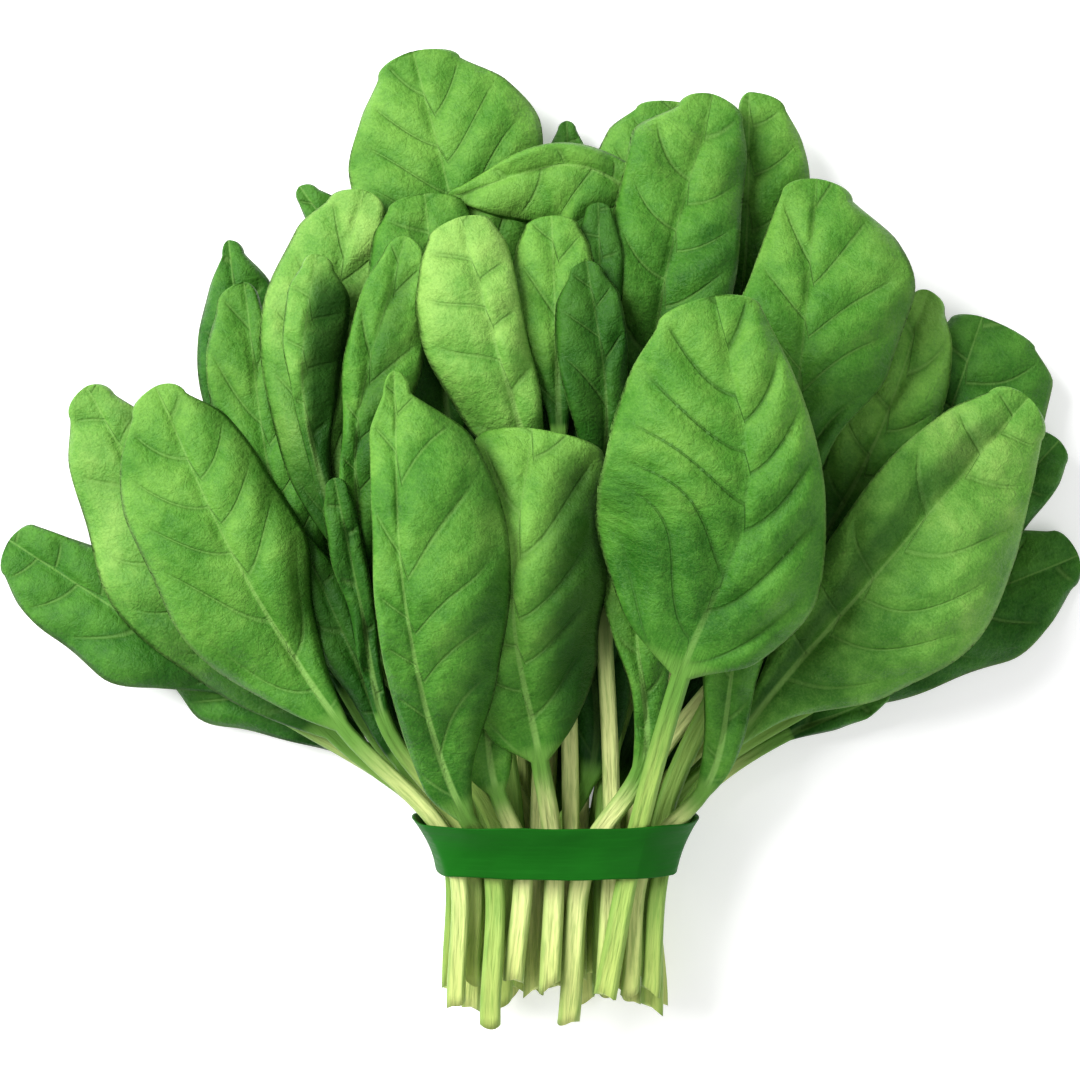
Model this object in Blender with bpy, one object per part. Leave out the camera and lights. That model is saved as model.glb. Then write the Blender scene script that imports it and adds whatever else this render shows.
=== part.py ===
"""A bunch of flat-leaf spinach, held by one green band and lying on its back.

The stalks run through the band along Y, with the cut ends towards -Y and the leaves fanning out
towards +Y. Z is up and z = 0 is the surface that the bunch lies on. The origin lies under the
narrowest place of the stalks, inside the band. Every leaf, with its stalk, is one object, and the
band is another.

Lengths in this file are in millimetres, and MM turns them to Blender's metres.
"""

import math
import random

import bpy
import numpy as np

MM = 0.001

# Leaf blades
BLADE_THICK = 1.0  # measured straight up, so that a sloping blade is a little thinner
ROUND_TO_FLAT = 0.24  # share of the blade over which the stalk's round section flattens
NARROW_TIP = 1.3  # half width of the last section
BLADE_STEPS = 9
SMALL_BLADE_STEPS = 7
SMALL_HALF_WIDTH = 11.0  # leaves with halves narrower than this take fewer sections
TIP_SECTION = 0.99  # along the blade, and keeps its tip round
EDGE_AT = (0.1, 0.3, 0.5, 0.7, 0.85, 0.95)  # shares of a blade's length where its half widths are given
OVAL = (0.42, 0.82, 1.0, 0.95, 0.74, 0.45)  # half widths there of a plain oval blade

# Stalks
STALK_RADIUS_BASE = 2.1  # where the blade starts
STALK_RADIUS_CUT = 2.5
STALK_STEP = 17.0  # length between sections
CUT_END_NARROWS = 0.97  # the cut ends lie closer together than the stalks in the band
CUT_LENGTHS = (33.0, 43.0)  # past the middle of the band

# The band
BAND_HALF_LENGTH = 7.0  # along the stalks
BAND_WALL = 1.1
BAND_CLEAR = 0.45  # from the stalks
BAND_FLAT_HALF = 13.0  # the underside is flat over at least this half width
BAND_SIDES = 48
BAND_AT = 2.0  # its middle, a little nearer to the leaves than the neck's narrowest place
BAND_ROWS = (-5.0, -1.5, 2.0, 5.5, 9.0)
BAND_LEAN = 0.06  # the band's top sits further from the leaves than its underside

# The packed neck, where the stalks pass through the band
NECK_FLAT_HALF = 15.0  # the lowest row lies flat over this half width
NECK_HALF_WIDTH = 33.0
NECK_SIDE_RISE = 5.0  # how far the band's lower wall has risen at the sides
NECK_LAYER = 4.2  # from one layer of stalks to the next
BAND_SQUEEZE = 0.92  # how far the band draws the stalks together

# The leaves' places were read off from above, on a level plane
VIEW_HEIGHT = 1200.0
VIEW_OVER = (-4.0, 81.0)
READ_AT = 40.0

# Laying one leaf over the others
CELL = 0.5
LEAF_GAP = 0.35
BEND = 0.005  # a lifted leaf curves by this much per millimetre, at most
LAY_ROUNDS = 30
SETTLED = 0.01
FIELD = (-150.0, 150.0, -55.0, 218.0)  # left, right, near and far limits of the height map

# The five places across a section, from the left margin to the right one
ACROSS = np.array([-1.0, -0.5, 0.0, 0.5, 1.0])
ROUND_ANGLES = np.radians([162.0, 126.0, 90.0, 54.0, 18.0])
RIB = 2

LEAF_GREENS = {"dark": (0.06, 0.19, 0.03), "mid": (0.09, 0.25, 0.04), "light": (0.16, 0.35, 0.07)}
BAND_GREEN = (0.010, 0.170, 0.012)


def leaf(name, neck, base, tip, edges, cut=None, bow=0.0, arch=5.0, tilt=0.0, fold=0.30,
         droop=(0.42, 0.42), wave=1.6, cycles=2.0, stout=1.0, tone="mid"):
    """One leaf's driving sizes. base and tip are (x, y, z) of the blade's two ends. edges are its half
    widths at EDGE_AT, left and right of the midrib. neck is its stalk's x inside the band and cut the
    (x, y) of the stalk's end. bow and arch move the middle of the midrib sideways and up. tilt and fold
    slope and raise the two halves, and droop lowers the left and the right one. wave and cycles ruffle
    the margin, stout thickens the stalk and tone is one of LEAF_GREENS."""
    return dict(name=name, neck=neck, base=base, tip=tip, edges=edges, cut=cut, bow=bow, arch=arch,
                tilt=tilt, fold=fold, droop=droop, wave=wave, cycles=cycles, stout=stout, tone=tone)


def oval(left, right):
    """Half widths of a plain oval blade, from those at its broadest."""
    return tuple(left * share for share in OVAL), tuple(right * share for share in OVAL)


# From the lowest leaf to the highest. Each one lies over those before it, and each of the four layers
# is a fan of stalks side by side in the band.
LAYERS = [
    # Leaves on the surface, most of them hidden
    [
        leaf("under_top", 1, (1, 11, 5), (14, 172, 0.5), oval(20, 20), arch=1, tone="dark"),
        leaf("under_left", -19, (-34, 24, 5), (-101, 106, 0.5), oval(17, 17), arch=1, tone="dark"),
        leaf("under_right", 16, (20, 14, 5), (104, 118, 0.5), oval(24, 15), arch=1, tone="dark"),
        leaf("under_left_up", -12.5, (-22, 28, 5), (-74, 142, 0.5), oval(17, 17), arch=1, tone="dark"),
        leaf("under_top_right", 8.5, (14, 16, 5), (62, 160, 0.5), oval(18, 18), arch=1, tone="dark"),
        leaf("under_top_left", -5.5, (-8, 30, 5), (-32, 166, 0.5), oval(19, 19), arch=1, tone="dark"),
        leaf("right_low_back", 25, (52, 38, 8), (136, 77, 4),
             ((3, 10, 14, 14, 13, 9), (4, 15, 17.5, 20, 14, 7.5)), bow=-2, arch=4, tilt=0.1, tone="dark"),
        leaf("left_low", -25, (-50, 27, 8), (-103, 53, 4),
             ((5, 7, 10, 12, 8.5, 5), (5, 8, 10, 10, 8, 5)), arch=3, wave=2.2, cycles=2.6, tone="dark"),
        leaf("left_far_low", -31, (-76, 39, 11), (-142, 81, 6),
             ((4, 11, 17, 16, 13, 8.5), (4, 10, 13, 12, 9, 7)), arch=6, fold=0.5, tone="dark"),
        leaf("right_small_low", 31, (60, 30.5, 5), (86, 41.5, 4),
             ((2.2, 4, 5, 4.5, 3.5, 2.4), (2.2, 3, 4, 4, 3, 2)), arch=1, wave=0.6, stout=0.8, tone="dark"),
    ],
    # The back of the fan, whose tips make the outline
    [
        leaf("back_top_tip", -2.5, (4, 140, 12), (3, 190, 8),
             ((3, 6, 7.5, 7, 5, 2.5), (3, 6, 7.5, 7, 5, 2.5)), wave=0.8, tone="dark"),
        leaf("right_far_low", 28.5, (92, 58, 12), (131, 107, 9),
             ((4, 9, 12, 11, 9, 6.5), (4, 8, 10, 9.5, 8, 5.5)), bow=-2, tone="dark"),
        leaf("back_left_tip", -16, (-36, 115, 14), (-66.5, 173, 10),
             ((3, 5, 6.5, 6, 4.5, 2.8), (3, 8, 11, 10, 7, 3.5)), bow=4, wave=1.0, tone="dark"),
        leaf("back_top_right", 4.5, (22, 128, 12), (32, 195, 10),
             ((8, 18, 21, 20, 18, 11), (8, 16, 18, 18, 15, 9)), arch=5),
        leaf("right_far", 23, (88, 74, 14), (111, 139, 12),
             ((4, 9, 11, 12, 11, 8), (8, 20, 25, 26, 24, 16)), arch=5, tone="dark"),
        leaf("back_top_left", -9, (-19, 120, 15), (-37, 208, 14),
             ((8, 18, 23, 24, 18.5, 11), (8, 18, 25, 27, 22, 12)), arch=7, bow=2, wave=2.2),
        leaf("left_point_back", -22, (-66, 80, 16), (-85, 159, 13),
             ((4, 9, 12, 11, 7, 2.2), (4, 10, 13, 13, 10, 3.8)), bow=-4, tone="dark"),
        leaf("back_right_tall", 11.5, (44, 112, 16), (50.5, 197.5, 16),
             ((4, 6, 6, 6, 5, 2.8), (6, 13, 16, 17, 14, 9.5)), bow=2, wave=2.0),
        leaf("left_pale", -28.5, (-58, 31, 15), (-122, 121, 13),
             ((8, 18, 22, 18.5, 15, 8.2), (5, 10, 13, 14, 11, 5.5)), bow=-5, arch=9, tilt=0.08,
             tone="light"),
        leaf("right_mid", 18, (64, 72, 20), (97, 146, 18),
             ((4, 9, 12, 11, 7, 4), (5, 12, 14, 14, 11, 6)), bow=3, arch=9, tilt=-0.1),
    ],
    # The middle of the bunch
    [
        leaf("upper_cross", 22, (36, 154, 22), (-28, 170, 22),
             ((8, 16, 17, 15, 9, 3), (4, 6, 6, 5.5, 4, 2.2)), bow=16, arch=8, tilt=0.15),
        leaf("left_mid", -30.5, (-52, 38, 21), (-81, 148, 24),
             ((3, 9, 13, 13, 11.7, 8), (3, 8, 13, 12, 6, 3.5)), bow=-6, arch=9, wave=2.6, cycles=2.8),
        leaf("left_inner_dark", -24.5, (-40, 24, 18), (-66, 82, 22),
             ((3, 5, 7, 7, 6, 4), (3, 5, 6, 6, 5, 3)), arch=3, tone="dark"),
        leaf("upper_right_tall", 14, (22, 92, 24), (41, 197, 24),
             ((7, 13, 14.5, 18, 18, 8), (7, 14, 17.5, 16, 14, 9.5)), bow=-4, arch=12, fold=0.5,
             stout=1.2),
        leaf("left_broad", -6, (-54, 78, 22), (-50, 172, 28),
             ((6, 12, 15, 17, 15, 8.5), (5, 9, 11, 12, 11, 7)), cut=(-5.5, -38), bow=-9, arch=4,
             fold=0.1, tone="light"),
        leaf("left_folded", -18, (-57, 86, 26), (-62, 155, 33),
             ((2.2, 2.2, 3, 6.2, 6, 3.2), (2.2, 5, 9, 11, 10, 5)), bow=-5.5, arch=3, tilt=-0.3,
             fold=-0.5, droop=(0, 0), wave=0.8, tone="light"),
        leaf("upper_left_back", -11, (-27, 104, 28), (-34, 171, 28),
             ((5, 10, 13, 16, 15, 10), (5, 10, 12, 14, 13, 10)), wave=2.6, cycles=2.4, stout=1.1),
        leaf("round_tiny", 7, (12, 120, 26), (11, 168, 26),
             ((2.4, 4.5, 6, 6, 5, 3.6), (2.4, 4.5, 6, 6, 5, 3.6)), wave=0.5, tone="dark"),
        leaf("inner_dark", -1, (8, 18, 18), (0, 148, 28),
             ((6, 10, 12, 12, 10, 7), (6, 12, 14, 13, 9, 6)), arch=4, tone="dark"),
        leaf("right_upper", 29, (58, 78, 26), (68, 175, 30),
             ((7, 16, 22, 15, 12, 9), (5, 10, 24, 28, 22, 10)), arch=14, wave=2.2, stout=1.2),
        leaf("round_small", 4.5, (1, 108, 32), (-1, 165, 34),
             ((3, 8, 11, 11, 10, 7), (3, 8, 11, 11, 10, 7)), arch=5, wave=0.5),
        leaf("inner_folded", 16, (12, 84, 32), (8, 153, 36),
             ((3, 7, 10, 12, 10, 5), (2.4, 5, 6, 7, 7, 4)), cut=(13, -38), bow=3, fold=0.4,
             droop=(0.3, 0.3), tone="dark"),
    ],
    # The front, which the others carry
    [
        leaf("left_centre_long", -15, (-44, 52, 32), (-39, 160, 42),
             ((3, 4.4, 4, 7, 7, 4.5), (3, 8, 10, 14, 11, 6)), bow=-10, arch=9, wave=2.0),
        leaf("upper_centre", -5, (-6, 98, 40), (-25, 165, 44),
             ((8, 15, 17, 18, 14, 9.3), (5, 7.5, 9.2, 9.5, 10, 8)), cut=(-6, -38), arch=10, fold=0.15,
             droop=(0.5, 0.6), tone="light"),
        leaf("left_inner_low", -24.5, (-44, 34, 26), (-57, 97, 36),
             ((2.2, 3, 4, 5, 5, 3), (2.2, 3, 3.5, 4, 4, 3)), arch=2, wave=1.8, cycles=2.5, tone="dark"),
        leaf("left_big", -29.5, (-55, 33, 24), (-104, 121, 30),
             ((9, 19, 23, 21.5, 16.5, 9), (4.5, 11.5, 18.5, 18, 14, 6.5)), cut=(-26, -41), bow=-3,
             arch=13, droop=(0.42, 0.6)),
        leaf("front_right_long", 32, (47, 29, 22), (123, 118, 30),
             ((4, 11, 16, 16.5, 14.5, 9), (7, 25, 30, 26.5, 17, 10)), cut=(25, -37.5), bow=-1,
             arch=14, fold=0.5, droop=(0.55, 0.6), tone="light"),
        leaf("low_centre", -10, (-15, 16, 24), (-23, 74, 38),
             ((6, 7, 8, 8, 7, 4), (5, 8, 10, 10, 8, 5)), cut=(-11, -34), arch=3, stout=1.1),
        leaf("right_base_wide", 27, (38, 16, 24), (56, 90, 46),
             ((4, 6, 8, 9, 8, 5), (4, 6.5, 7.5, 8, 7, 4)), cut=(19.5, -38.5), arch=4),
        leaf("right_base_small", 10, (22, 22, 26), (20, 92, 50),
             ((3.2, 3.4, 6, 9, 8, 6), (4, 6.5, 9, 9, 8, 5)), cut=(3.5, -46), arch=6, stout=1.2),
        leaf("centre", -0.5, (-4, 24, 31), (-6, 110, 50),
             ((12, 16, 17, 17, 17, 14), (11, 21.5, 23, 23, 23, 19)), cut=(-1.5, -36), bow=-6, arch=16,
             fold=0.1, droop=(0.3, 0.75), wave=0.8, stout=1.15),
        leaf("front_left", -19.5, (-23, 10, 25), (-42, 125, 56),
             ((7, 8, 7.5, 7, 7, 3), (6.5, 19.5, 28, 25.5, 20, 4)), cut=(-17, -46), bow=-6, arch=17,
             fold=0.2, droop=(0.2, 0.55), stout=1.1),
        leaf("front_right", 22, (32, 46, 38), (41.5, 144.5, 64),
             ((20, 34.5, 36, 33.5, 26, 16), (17, 25.5, 20.5, 16.5, 13.5, 11)), cut=(13, -38), bow=12, arch=16,
             fold=0.26, wave=2.0, cycles=0.7, stout=1.2),
    ],
]


def smooth(t):
    """0 to 1 with level ends."""
    t = np.clip(t, 0.0, 1.0)
    return t * t * (3.0 - 2.0 * t)


def curve_through(knots, times):
    """Points of the smooth curve through the knots, at times counted in knots."""
    knots = np.asarray(knots, float)
    steps = np.linalg.norm(np.diff(knots, axis=0), axis=1)
    speeds = np.diff(knots, axis=0) / steps[:, None]
    tangents = np.empty_like(knots)
    tangents[0], tangents[-1] = speeds[0], speeds[-1]
    share = (steps[:-1] / (steps[:-1] + steps[1:]))[:, None]
    tangents[1:-1] = (1.0 - share) * speeds[:-1] + share * speeds[1:]
    first = np.clip(np.floor(times).astype(int), 0, len(steps) - 1)
    t = (times - first)[:, None]
    length = steps[first][:, None]
    return ((2 * t**3 - 3 * t**2 + 1) * knots[first] + (t**3 - 2 * t**2 + t) * length * tangents[first]
            + (3 * t**2 - 2 * t**3) * knots[first + 1] + (t**3 - t**2) * length * tangents[first + 1])


def neck_floor(x):
    """The band's inner wall under the stalks."""
    side = np.clip((np.abs(x) - NECK_FLAT_HALF) / (NECK_HALF_WIDTH - NECK_FLAT_HALF), 0.0, 1.3)
    return BAND_WALL + BAND_CLEAR + NECK_SIDE_RISE * side**2


def true_place(place):
    """A place as it is, for one seen from VIEW_HEIGHT above VIEW_OVER and read off at READ_AT: what is
    higher looks further out."""
    x, y, z = place
    nearer = (VIEW_HEIGHT - z) / (VIEW_HEIGHT - READ_AT)
    x = VIEW_OVER[0] + (x - VIEW_OVER[0]) * nearer
    y = VIEW_OVER[1] + (y - VIEW_OVER[1]) * nearer
    return np.array([x, y, z])


def knots_of(spec, layer, draw):
    """The five points that a stalk and its midrib run through: cut end, neck, base, middle and tip."""
    base, tip = true_place(spec["base"]), true_place(spec["tip"])
    neck_x = spec["neck"] * BAND_SQUEEZE
    height = neck_floor(neck_x) + STALK_RADIUS_BASE + NECK_LAYER * layer
    neck = np.array([neck_x, 0.0, height])
    cut_x, cut_y = spec["cut"] or (neck_x * CUT_END_NARROWS + draw.uniform(-0.6, 0.6),
                                   -draw.uniform(*CUT_LENGTHS))
    cut = np.array([cut_x, cut_y, neck[2]])
    along = (tip - base)[:2] / np.linalg.norm((tip - base)[:2])
    right = np.array([along[1], -along[0]])
    middle = (base + tip) / 2.0
    middle[:2] += right * spec["bow"]
    middle[2] += spec["arch"]
    return np.array([cut, neck, base, middle, tip])


def edge_width(s, radius, half_widths):
    """The half width along one margin: from the stalk smoothly through half_widths to a rounded tip."""
    at = np.array([0.0, *EDGE_AT])
    width = np.array([radius, *half_widths])
    steps = np.diff(at)
    rise = np.diff(width) / steps
    before, after = rise[:-1], rise[1:]
    level_off = before * after <= 0
    inner = np.where(level_off, 0.0, 2.0 * before * after / np.where(level_off, 1.0, before + after))
    slope = np.array([rise[0], *inner, rise[-1]])
    k = np.clip(np.searchsorted(at, s, side="right") - 1, 0, len(steps) - 1)
    t = np.clip((s - at[k]) / steps[k], 0.0, 1.0)
    found = ((2 * t**3 - 3 * t**2 + 1) * width[k] + (t**3 - 2 * t**2 + t) * steps[k] * slope[k]
             + (3 * t**2 - 2 * t**3) * width[k + 1] + (t**3 - t**2) * steps[k] * slope[k + 1])
    past = np.clip((s - at[-1]) / (1.0 - at[-1]), 0.0, 1.0)
    return found * np.sqrt(1.0 - past**2)


def sections_of(spec, layer, draw):
    """The sections of one leaf, each five places across: xy of each place, height of its middle, and how
    far the solid reaches above and below that. flat is 0 on the stalk and 1 on the blade."""
    knots = knots_of(spec, layer, draw)
    stalk_length = np.linalg.norm(np.diff(knots[:3], axis=0), axis=1)
    small = max(max(edge) for edge in spec["edges"]) < SMALL_HALF_WIDTH
    blade_steps = SMALL_BLADE_STEPS if small else BLADE_STEPS
    below = max(2, round(stalk_length[0] / STALK_STEP))
    above = max(1, round(stalk_length[1] / STALK_STEP))
    s = (1.0 - np.cos(np.pi * np.arange(blade_steps + 1) / blade_steps)) / 2.0
    s = np.insert(s, blade_steps, TIP_SECTION)
    times = np.concatenate([np.arange(below) / below, 1.0 + np.arange(above) / above, 2.0 + 2.0 * s])
    centre = curve_through(knots, times)
    ahead = curve_through(knots, np.clip(times + 0.02, 0, 4))
    ahead = ahead - curve_through(knots, np.clip(times - 0.02, 0, 4))
    run = np.linalg.norm(ahead[:, :2], axis=1)
    right = np.stack([ahead[:, 1], -ahead[:, 0]], 1) / run[:, None]
    slope = ahead[:, 2] / run

    count = len(times)
    s = np.concatenate([np.zeros(below + above), s])
    flat = smooth(s / ROUND_TO_FLAT)[:, None]
    way = np.clip(times / 2.0, 0, 1)
    radius = (STALK_RADIUS_CUT + (STALK_RADIUS_BASE - STALK_RADIUS_CUT) * way) * spec["stout"]
    side = (ACROSS[None, :] > 0).astype(int)
    base_radius = STALK_RADIUS_BASE * spec["stout"]
    full = np.stack([edge_width(s, base_radius, edge) for edge in spec["edges"]], 1)[:, side[0]]
    phase = np.array([draw.uniform(0, math.tau), draw.uniform(0, math.tau)])[side]
    ripple = np.sin(math.tau * spec["cycles"] * s[:, None] + phase)
    level = np.sin(np.pi * s)[:, None] ** 0.6
    full = np.where(times[:, None] < 2.0, radius[:, None], full)
    width = np.maximum(full * (1.0 + 0.05 * level * ripple), NARROW_TIP)

    round_out = np.cos(ROUND_ANGLES)[None, :] * radius[:, None]
    out = flat * ACROSS[None, :] * width + (1.0 - flat) * round_out * width / radius[:, None]
    xy = centre[:, None, :2] + right[:, None, :] * out[:, :, None]

    v = np.abs(ACROSS)[None, :]
    droop = np.array(spec["droop"])[side]
    shape = width * (spec["fold"] * v - droop * v**2) + spec["tilt"] * ACROSS[None, :] * width
    shape = shape + spec["wave"] * v**2 * ripple
    middle = centre[:, 2][:, None] + flat * level * shape

    steep = np.sqrt(1.0 + slope**2)[:, None]
    round_up = np.sin(ROUND_ANGLES)[None, :] * radius[:, None] * steep
    rib = radius * (1.0 - s) ** 1.3 * 0.8
    blade_down = np.full((count, len(ACROSS)), BLADE_THICK / 2)
    blade_down[:, RIB] += rib
    up = flat * BLADE_THICK / 2 + (1.0 - flat) * round_up
    down = flat * blade_down + (1.0 - flat) * round_up
    return dict(name=spec["name"], xy=xy, middle=middle, up=up, down=down, flat=flat)


def triangle_places(rows):
    """The triangles of the net of sections, as places in it, split the same way on both faces."""
    found = []
    for i in range(rows - 1):
        for j in range(len(ACROSS) - 1):
            a, b = i * len(ACROSS) + j, (i + 1) * len(ACROSS) + j
            found += [(a, b + 1, b), (a, a + 1, b + 1)]
    return np.array(found)


def cells_under(xy, triangles):
    """The height map's cells under the leaf, each with the three places and shares that give its height."""
    left, right, near, far = FIELD
    cells, places, shares = [], [], []
    for tri in triangles:
        a, b, c = xy[tri]
        area = (b[0] - a[0]) * (c[1] - a[1]) - (c[0] - a[0]) * (b[1] - a[1])
        if abs(area) < 1e-9:
            continue
        low, high = np.minimum(np.minimum(a, b), c), np.maximum(np.maximum(a, b), c)
        columns = np.arange(math.floor((low[0] - left) / CELL), math.ceil((high[0] - left) / CELL) + 1)
        lines = np.arange(math.floor((low[1] - near) / CELL), math.ceil((high[1] - near) / CELL) + 1)
        column, line = (grid.ravel() for grid in np.meshgrid(columns, lines))
        x, y = left + column * CELL, near + line * CELL
        share_b = ((x - a[0]) * (c[1] - a[1]) - (c[0] - a[0]) * (y - a[1])) / area
        share_c = ((b[0] - a[0]) * (y - a[1]) - (x - a[0]) * (b[1] - a[1])) / area
        inside = (share_b >= -1e-6) & (share_c >= -1e-6) & (share_b + share_c <= 1 + 1e-6)
        cells.append(np.stack([line[inside], column[inside]], 1))
        places.append(np.broadcast_to(tri, (inside.sum(), 3)))
        shares.append(np.stack([1 - share_b - share_c, share_b, share_c], 1)[inside])
    return np.concatenate(cells), np.concatenate(places), np.concatenate(shares)


def widened(heights):
    """Each cell's height raised to its neighbours' highest."""
    padded = np.pad(heights, 1, mode="edge")
    rows, columns = heights.shape
    return np.max([padded[i:i + rows, j:j + columns] for i in range(3) for j in range(3)], axis=0)


def lay(part, top):
    """Raises a leaf, in a gentle curve, until it clears what lies below, and adds it to the height map."""
    xy = part["xy"].reshape(-1, 2)
    cells, places, shares = cells_under(xy, triangle_places(len(part["xy"])))
    left, _, near, _ = FIELD
    at = np.stack([left + cells[:, 1] * CELL, near + cells[:, 0] * CELL], 1)
    below = widened(top)[cells[:, 0], cells[:, 1]] + LEAF_GAP
    stiff = 1.0 - part["flat"]
    for _ in range(LAY_ROUNDS):
        under = (part["middle"] - part["down"]).ravel()
        short = below - (under[places] * shares).sum(1)
        if short.max() < SETTLED:
            break
        worst = np.argsort(-short)[:4000]
        worst = worst[short[worst] > 0]
        away = ((xy[:, None, :] - at[None, worst, :]) ** 2).sum(2)
        lift = np.clip((short[worst][None, :] - BEND * away).max(1), 0, None).reshape(part["middle"].shape)
        lift = part["flat"] * lift + stiff * lift.max(1, keepdims=True)
        part["middle"] = part["middle"] + lift + SETTLED / 2 * (lift > 0)
    upper = ((part["middle"] + part["up"]).ravel()[places] * shares).sum(1)
    np.maximum.at(top, (cells[:, 0], cells[:, 1]), upper)
    return max(0.0, float(short.max()))


def empty_height_map():
    """The surface that the bunch lies on, raised in the neck to the band's inner wall."""
    left, right, near, far = FIELD
    x = left + CELL * np.arange(int((right - left) / CELL) + 1)
    y = near + CELL * np.arange(int((far - near) / CELL) + 1)
    top = np.zeros((len(y), len(x)))
    neck = np.abs(y - BAND_AT) <= BAND_HALF_LENGTH + 2 * CELL
    top[neck] = neck_floor(x)[None, :] - LEAF_GAP
    top[~neck] = -LEAF_GAP + 0.05
    return top


def new_object(name, vertices, faces, material):
    mesh = bpy.data.meshes.new(name)
    mesh.from_pydata([tuple(MM * c for c in v) for v in vertices], [], faces)
    mesh.update()
    mesh.materials.append(material)
    obj = bpy.data.objects.new(name, mesh)
    bpy.context.scene.collection.objects.link(obj)
    return obj


def new_material(name, colour, roughness):
    material = bpy.data.materials.new(name)
    material.use_nodes = True
    shader = material.node_tree.nodes["Principled BSDF"]
    shader.inputs["Base Color"].default_value = (*colour, 1.0)
    shader.inputs["Roughness"].default_value = roughness
    return material


def leaf_object(part, material):
    """The closed solid of one leaf: its sections, each a ring of ten points, joined and capped."""
    rows, across = part["middle"].shape
    over = np.dstack([part["xy"], part["middle"] + part["up"]])
    under = np.dstack([part["xy"], part["middle"] - part["down"]])
    vertices = np.concatenate([over.reshape(-1, 3), under.reshape(-1, 3)])
    below = rows * across
    faces = []
    for a, b, c in triangle_places(rows).tolist():
        faces.append((a, b, c))
        faces.append((below + c, below + b, below + a))
    for i in range(rows - 1):
        a, b = i * across, (i + 1) * across
        faces += [(a, b, below + b), (a, below + b, below + a)]
        a, b = a + across - 1, b + across - 1
        faces += [(a, below + b, b), (a, below + a, below + b)]
    last = (rows - 1) * across
    for j in range(across - 1):
        faces += [(j, below + j + 1, j + 1), (j, below + j, below + j + 1)]
        a = last + j
        faces += [(a, a + 1, below + a + 1), (a, below + a + 1, below + a)]
    obj = new_object("leaf_" + part["name"], vertices, faces, material)
    obj.data.shade_smooth()
    return obj


def reach_at(parts, row, directions):
    """How far the stalks reach in each direction across the neck, where they cross the band's row."""
    points = []
    for part in parts:
        over = np.dstack([part["xy"], part["middle"] + part["up"]])
        under = np.dstack([part["xy"], part["middle"] - part["down"]])
        for net in (over, under):
            net = net + BAND_LEAN * net[:, :, 2:] * (0.0, 1.0, 0.0)
            ends = np.concatenate([np.stack([net[:-1], net[1:]], 2).reshape(-1, 2, 3),
                                   np.stack([net[:-1, :-1], net[1:, 1:]], 2).reshape(-1, 2, 3),
                                   np.stack([net[:, :-1], net[:, 1:]], 2).reshape(-1, 2, 3)])
            a, b = ends[:, 0], ends[:, 1]
            crossing = (a[:, 1] - row) * (b[:, 1] - row) < 0
            share = (row - a[crossing, 1]) / (b[crossing, 1] - a[crossing, 1])
            points.append((a[crossing] + share[:, None] * (b[crossing] - a[crossing]))[:, [0, 2]])
    points = np.concatenate(points)
    rest = BAND_WALL + BAND_CLEAR
    points[:, 1] = np.maximum(points[:, 1], rest)
    points = np.concatenate([points, [(-BAND_FLAT_HALF, rest), (BAND_FLAT_HALF, rest)]])
    return (points @ directions.T).max(0)


def band_object(parts, material):
    """The band: a closed strip stretched round the stalks, flat where it lies on the surface."""
    turns = math.tau * np.arange(BAND_SIDES) / BAND_SIDES - math.pi / 2
    directions = np.stack([np.cos(turns), np.sin(turns)], 1)
    ahead = np.roll(directions, -1, axis=0)
    turned = directions[:, 0] * ahead[:, 1] - directions[:, 1] * ahead[:, 0]

    def ring(reach):
        following = np.roll(reach, -1)
        x = (reach * ahead[:, 1] - following * directions[:, 1]) / turned
        z = (following * directions[:, 0] - reach * ahead[:, 0]) / turned
        return np.stack([x, z], 1)

    vertices = []
    for row in BAND_ROWS:
        reach = reach_at(parts, row, directions) + BAND_CLEAR
        inner = ring(reach)
        outer = ring(reach + BAND_WALL)
        vertices += [(x, row - BAND_LEAN * z, z) for x, z in (*inner, *outer)]
    faces = []
    stride = 2 * BAND_SIDES
    for k in range(BAND_SIDES):
        following = (k + 1) % BAND_SIDES
        for row in range(len(BAND_ROWS) - 1):
            near, far = row * stride, (row + 1) * stride
            faces.append((near + k, near + following, far + following, far + k))
            near, far = near + BAND_SIDES, far + BAND_SIDES
            faces.append((near + k, far + k, far + following, near + following))
        faces.append((k, BAND_SIDES + k, BAND_SIDES + following, following))
        far = (len(BAND_ROWS) - 1) * stride
        faces.append((far + k, far + following, far + BAND_SIDES + following, far + BAND_SIDES + k))
    return new_object("band", vertices, faces, material)


def main():
    for obj in list(bpy.data.objects):
        bpy.data.objects.remove(obj)
    draw = random.Random(11)
    top = empty_height_map()
    greens = {tone: new_material(f"leaf_{tone}", colour, 0.45) for tone, colour in LEAF_GREENS.items()}
    parts = []
    for layer, leaves in enumerate(LAYERS):
        for spec in leaves:
            part = sections_of(spec, layer, draw)
            lay(part, top)
            parts.append(part)
            leaf_object(part, greens[spec["tone"]])
    band_object(parts, new_material("band_green", BAND_GREEN, 0.5))


main()
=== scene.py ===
"""A bunch of flat-leaf spinach, held by one green band and lying on its back, dressed for its photograph.

Every leaf is laid twice. The first time repeats part.py's coarse sections, so that each leaf takes the
place of its solid. The second time starts from there with fine sections that carry the veins, puckers
and ruffles, and lifts them clear of what lies below. Lengths are in millimetres, and MM turns them to
Blender's metres.
"""

import math
import random

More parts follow.
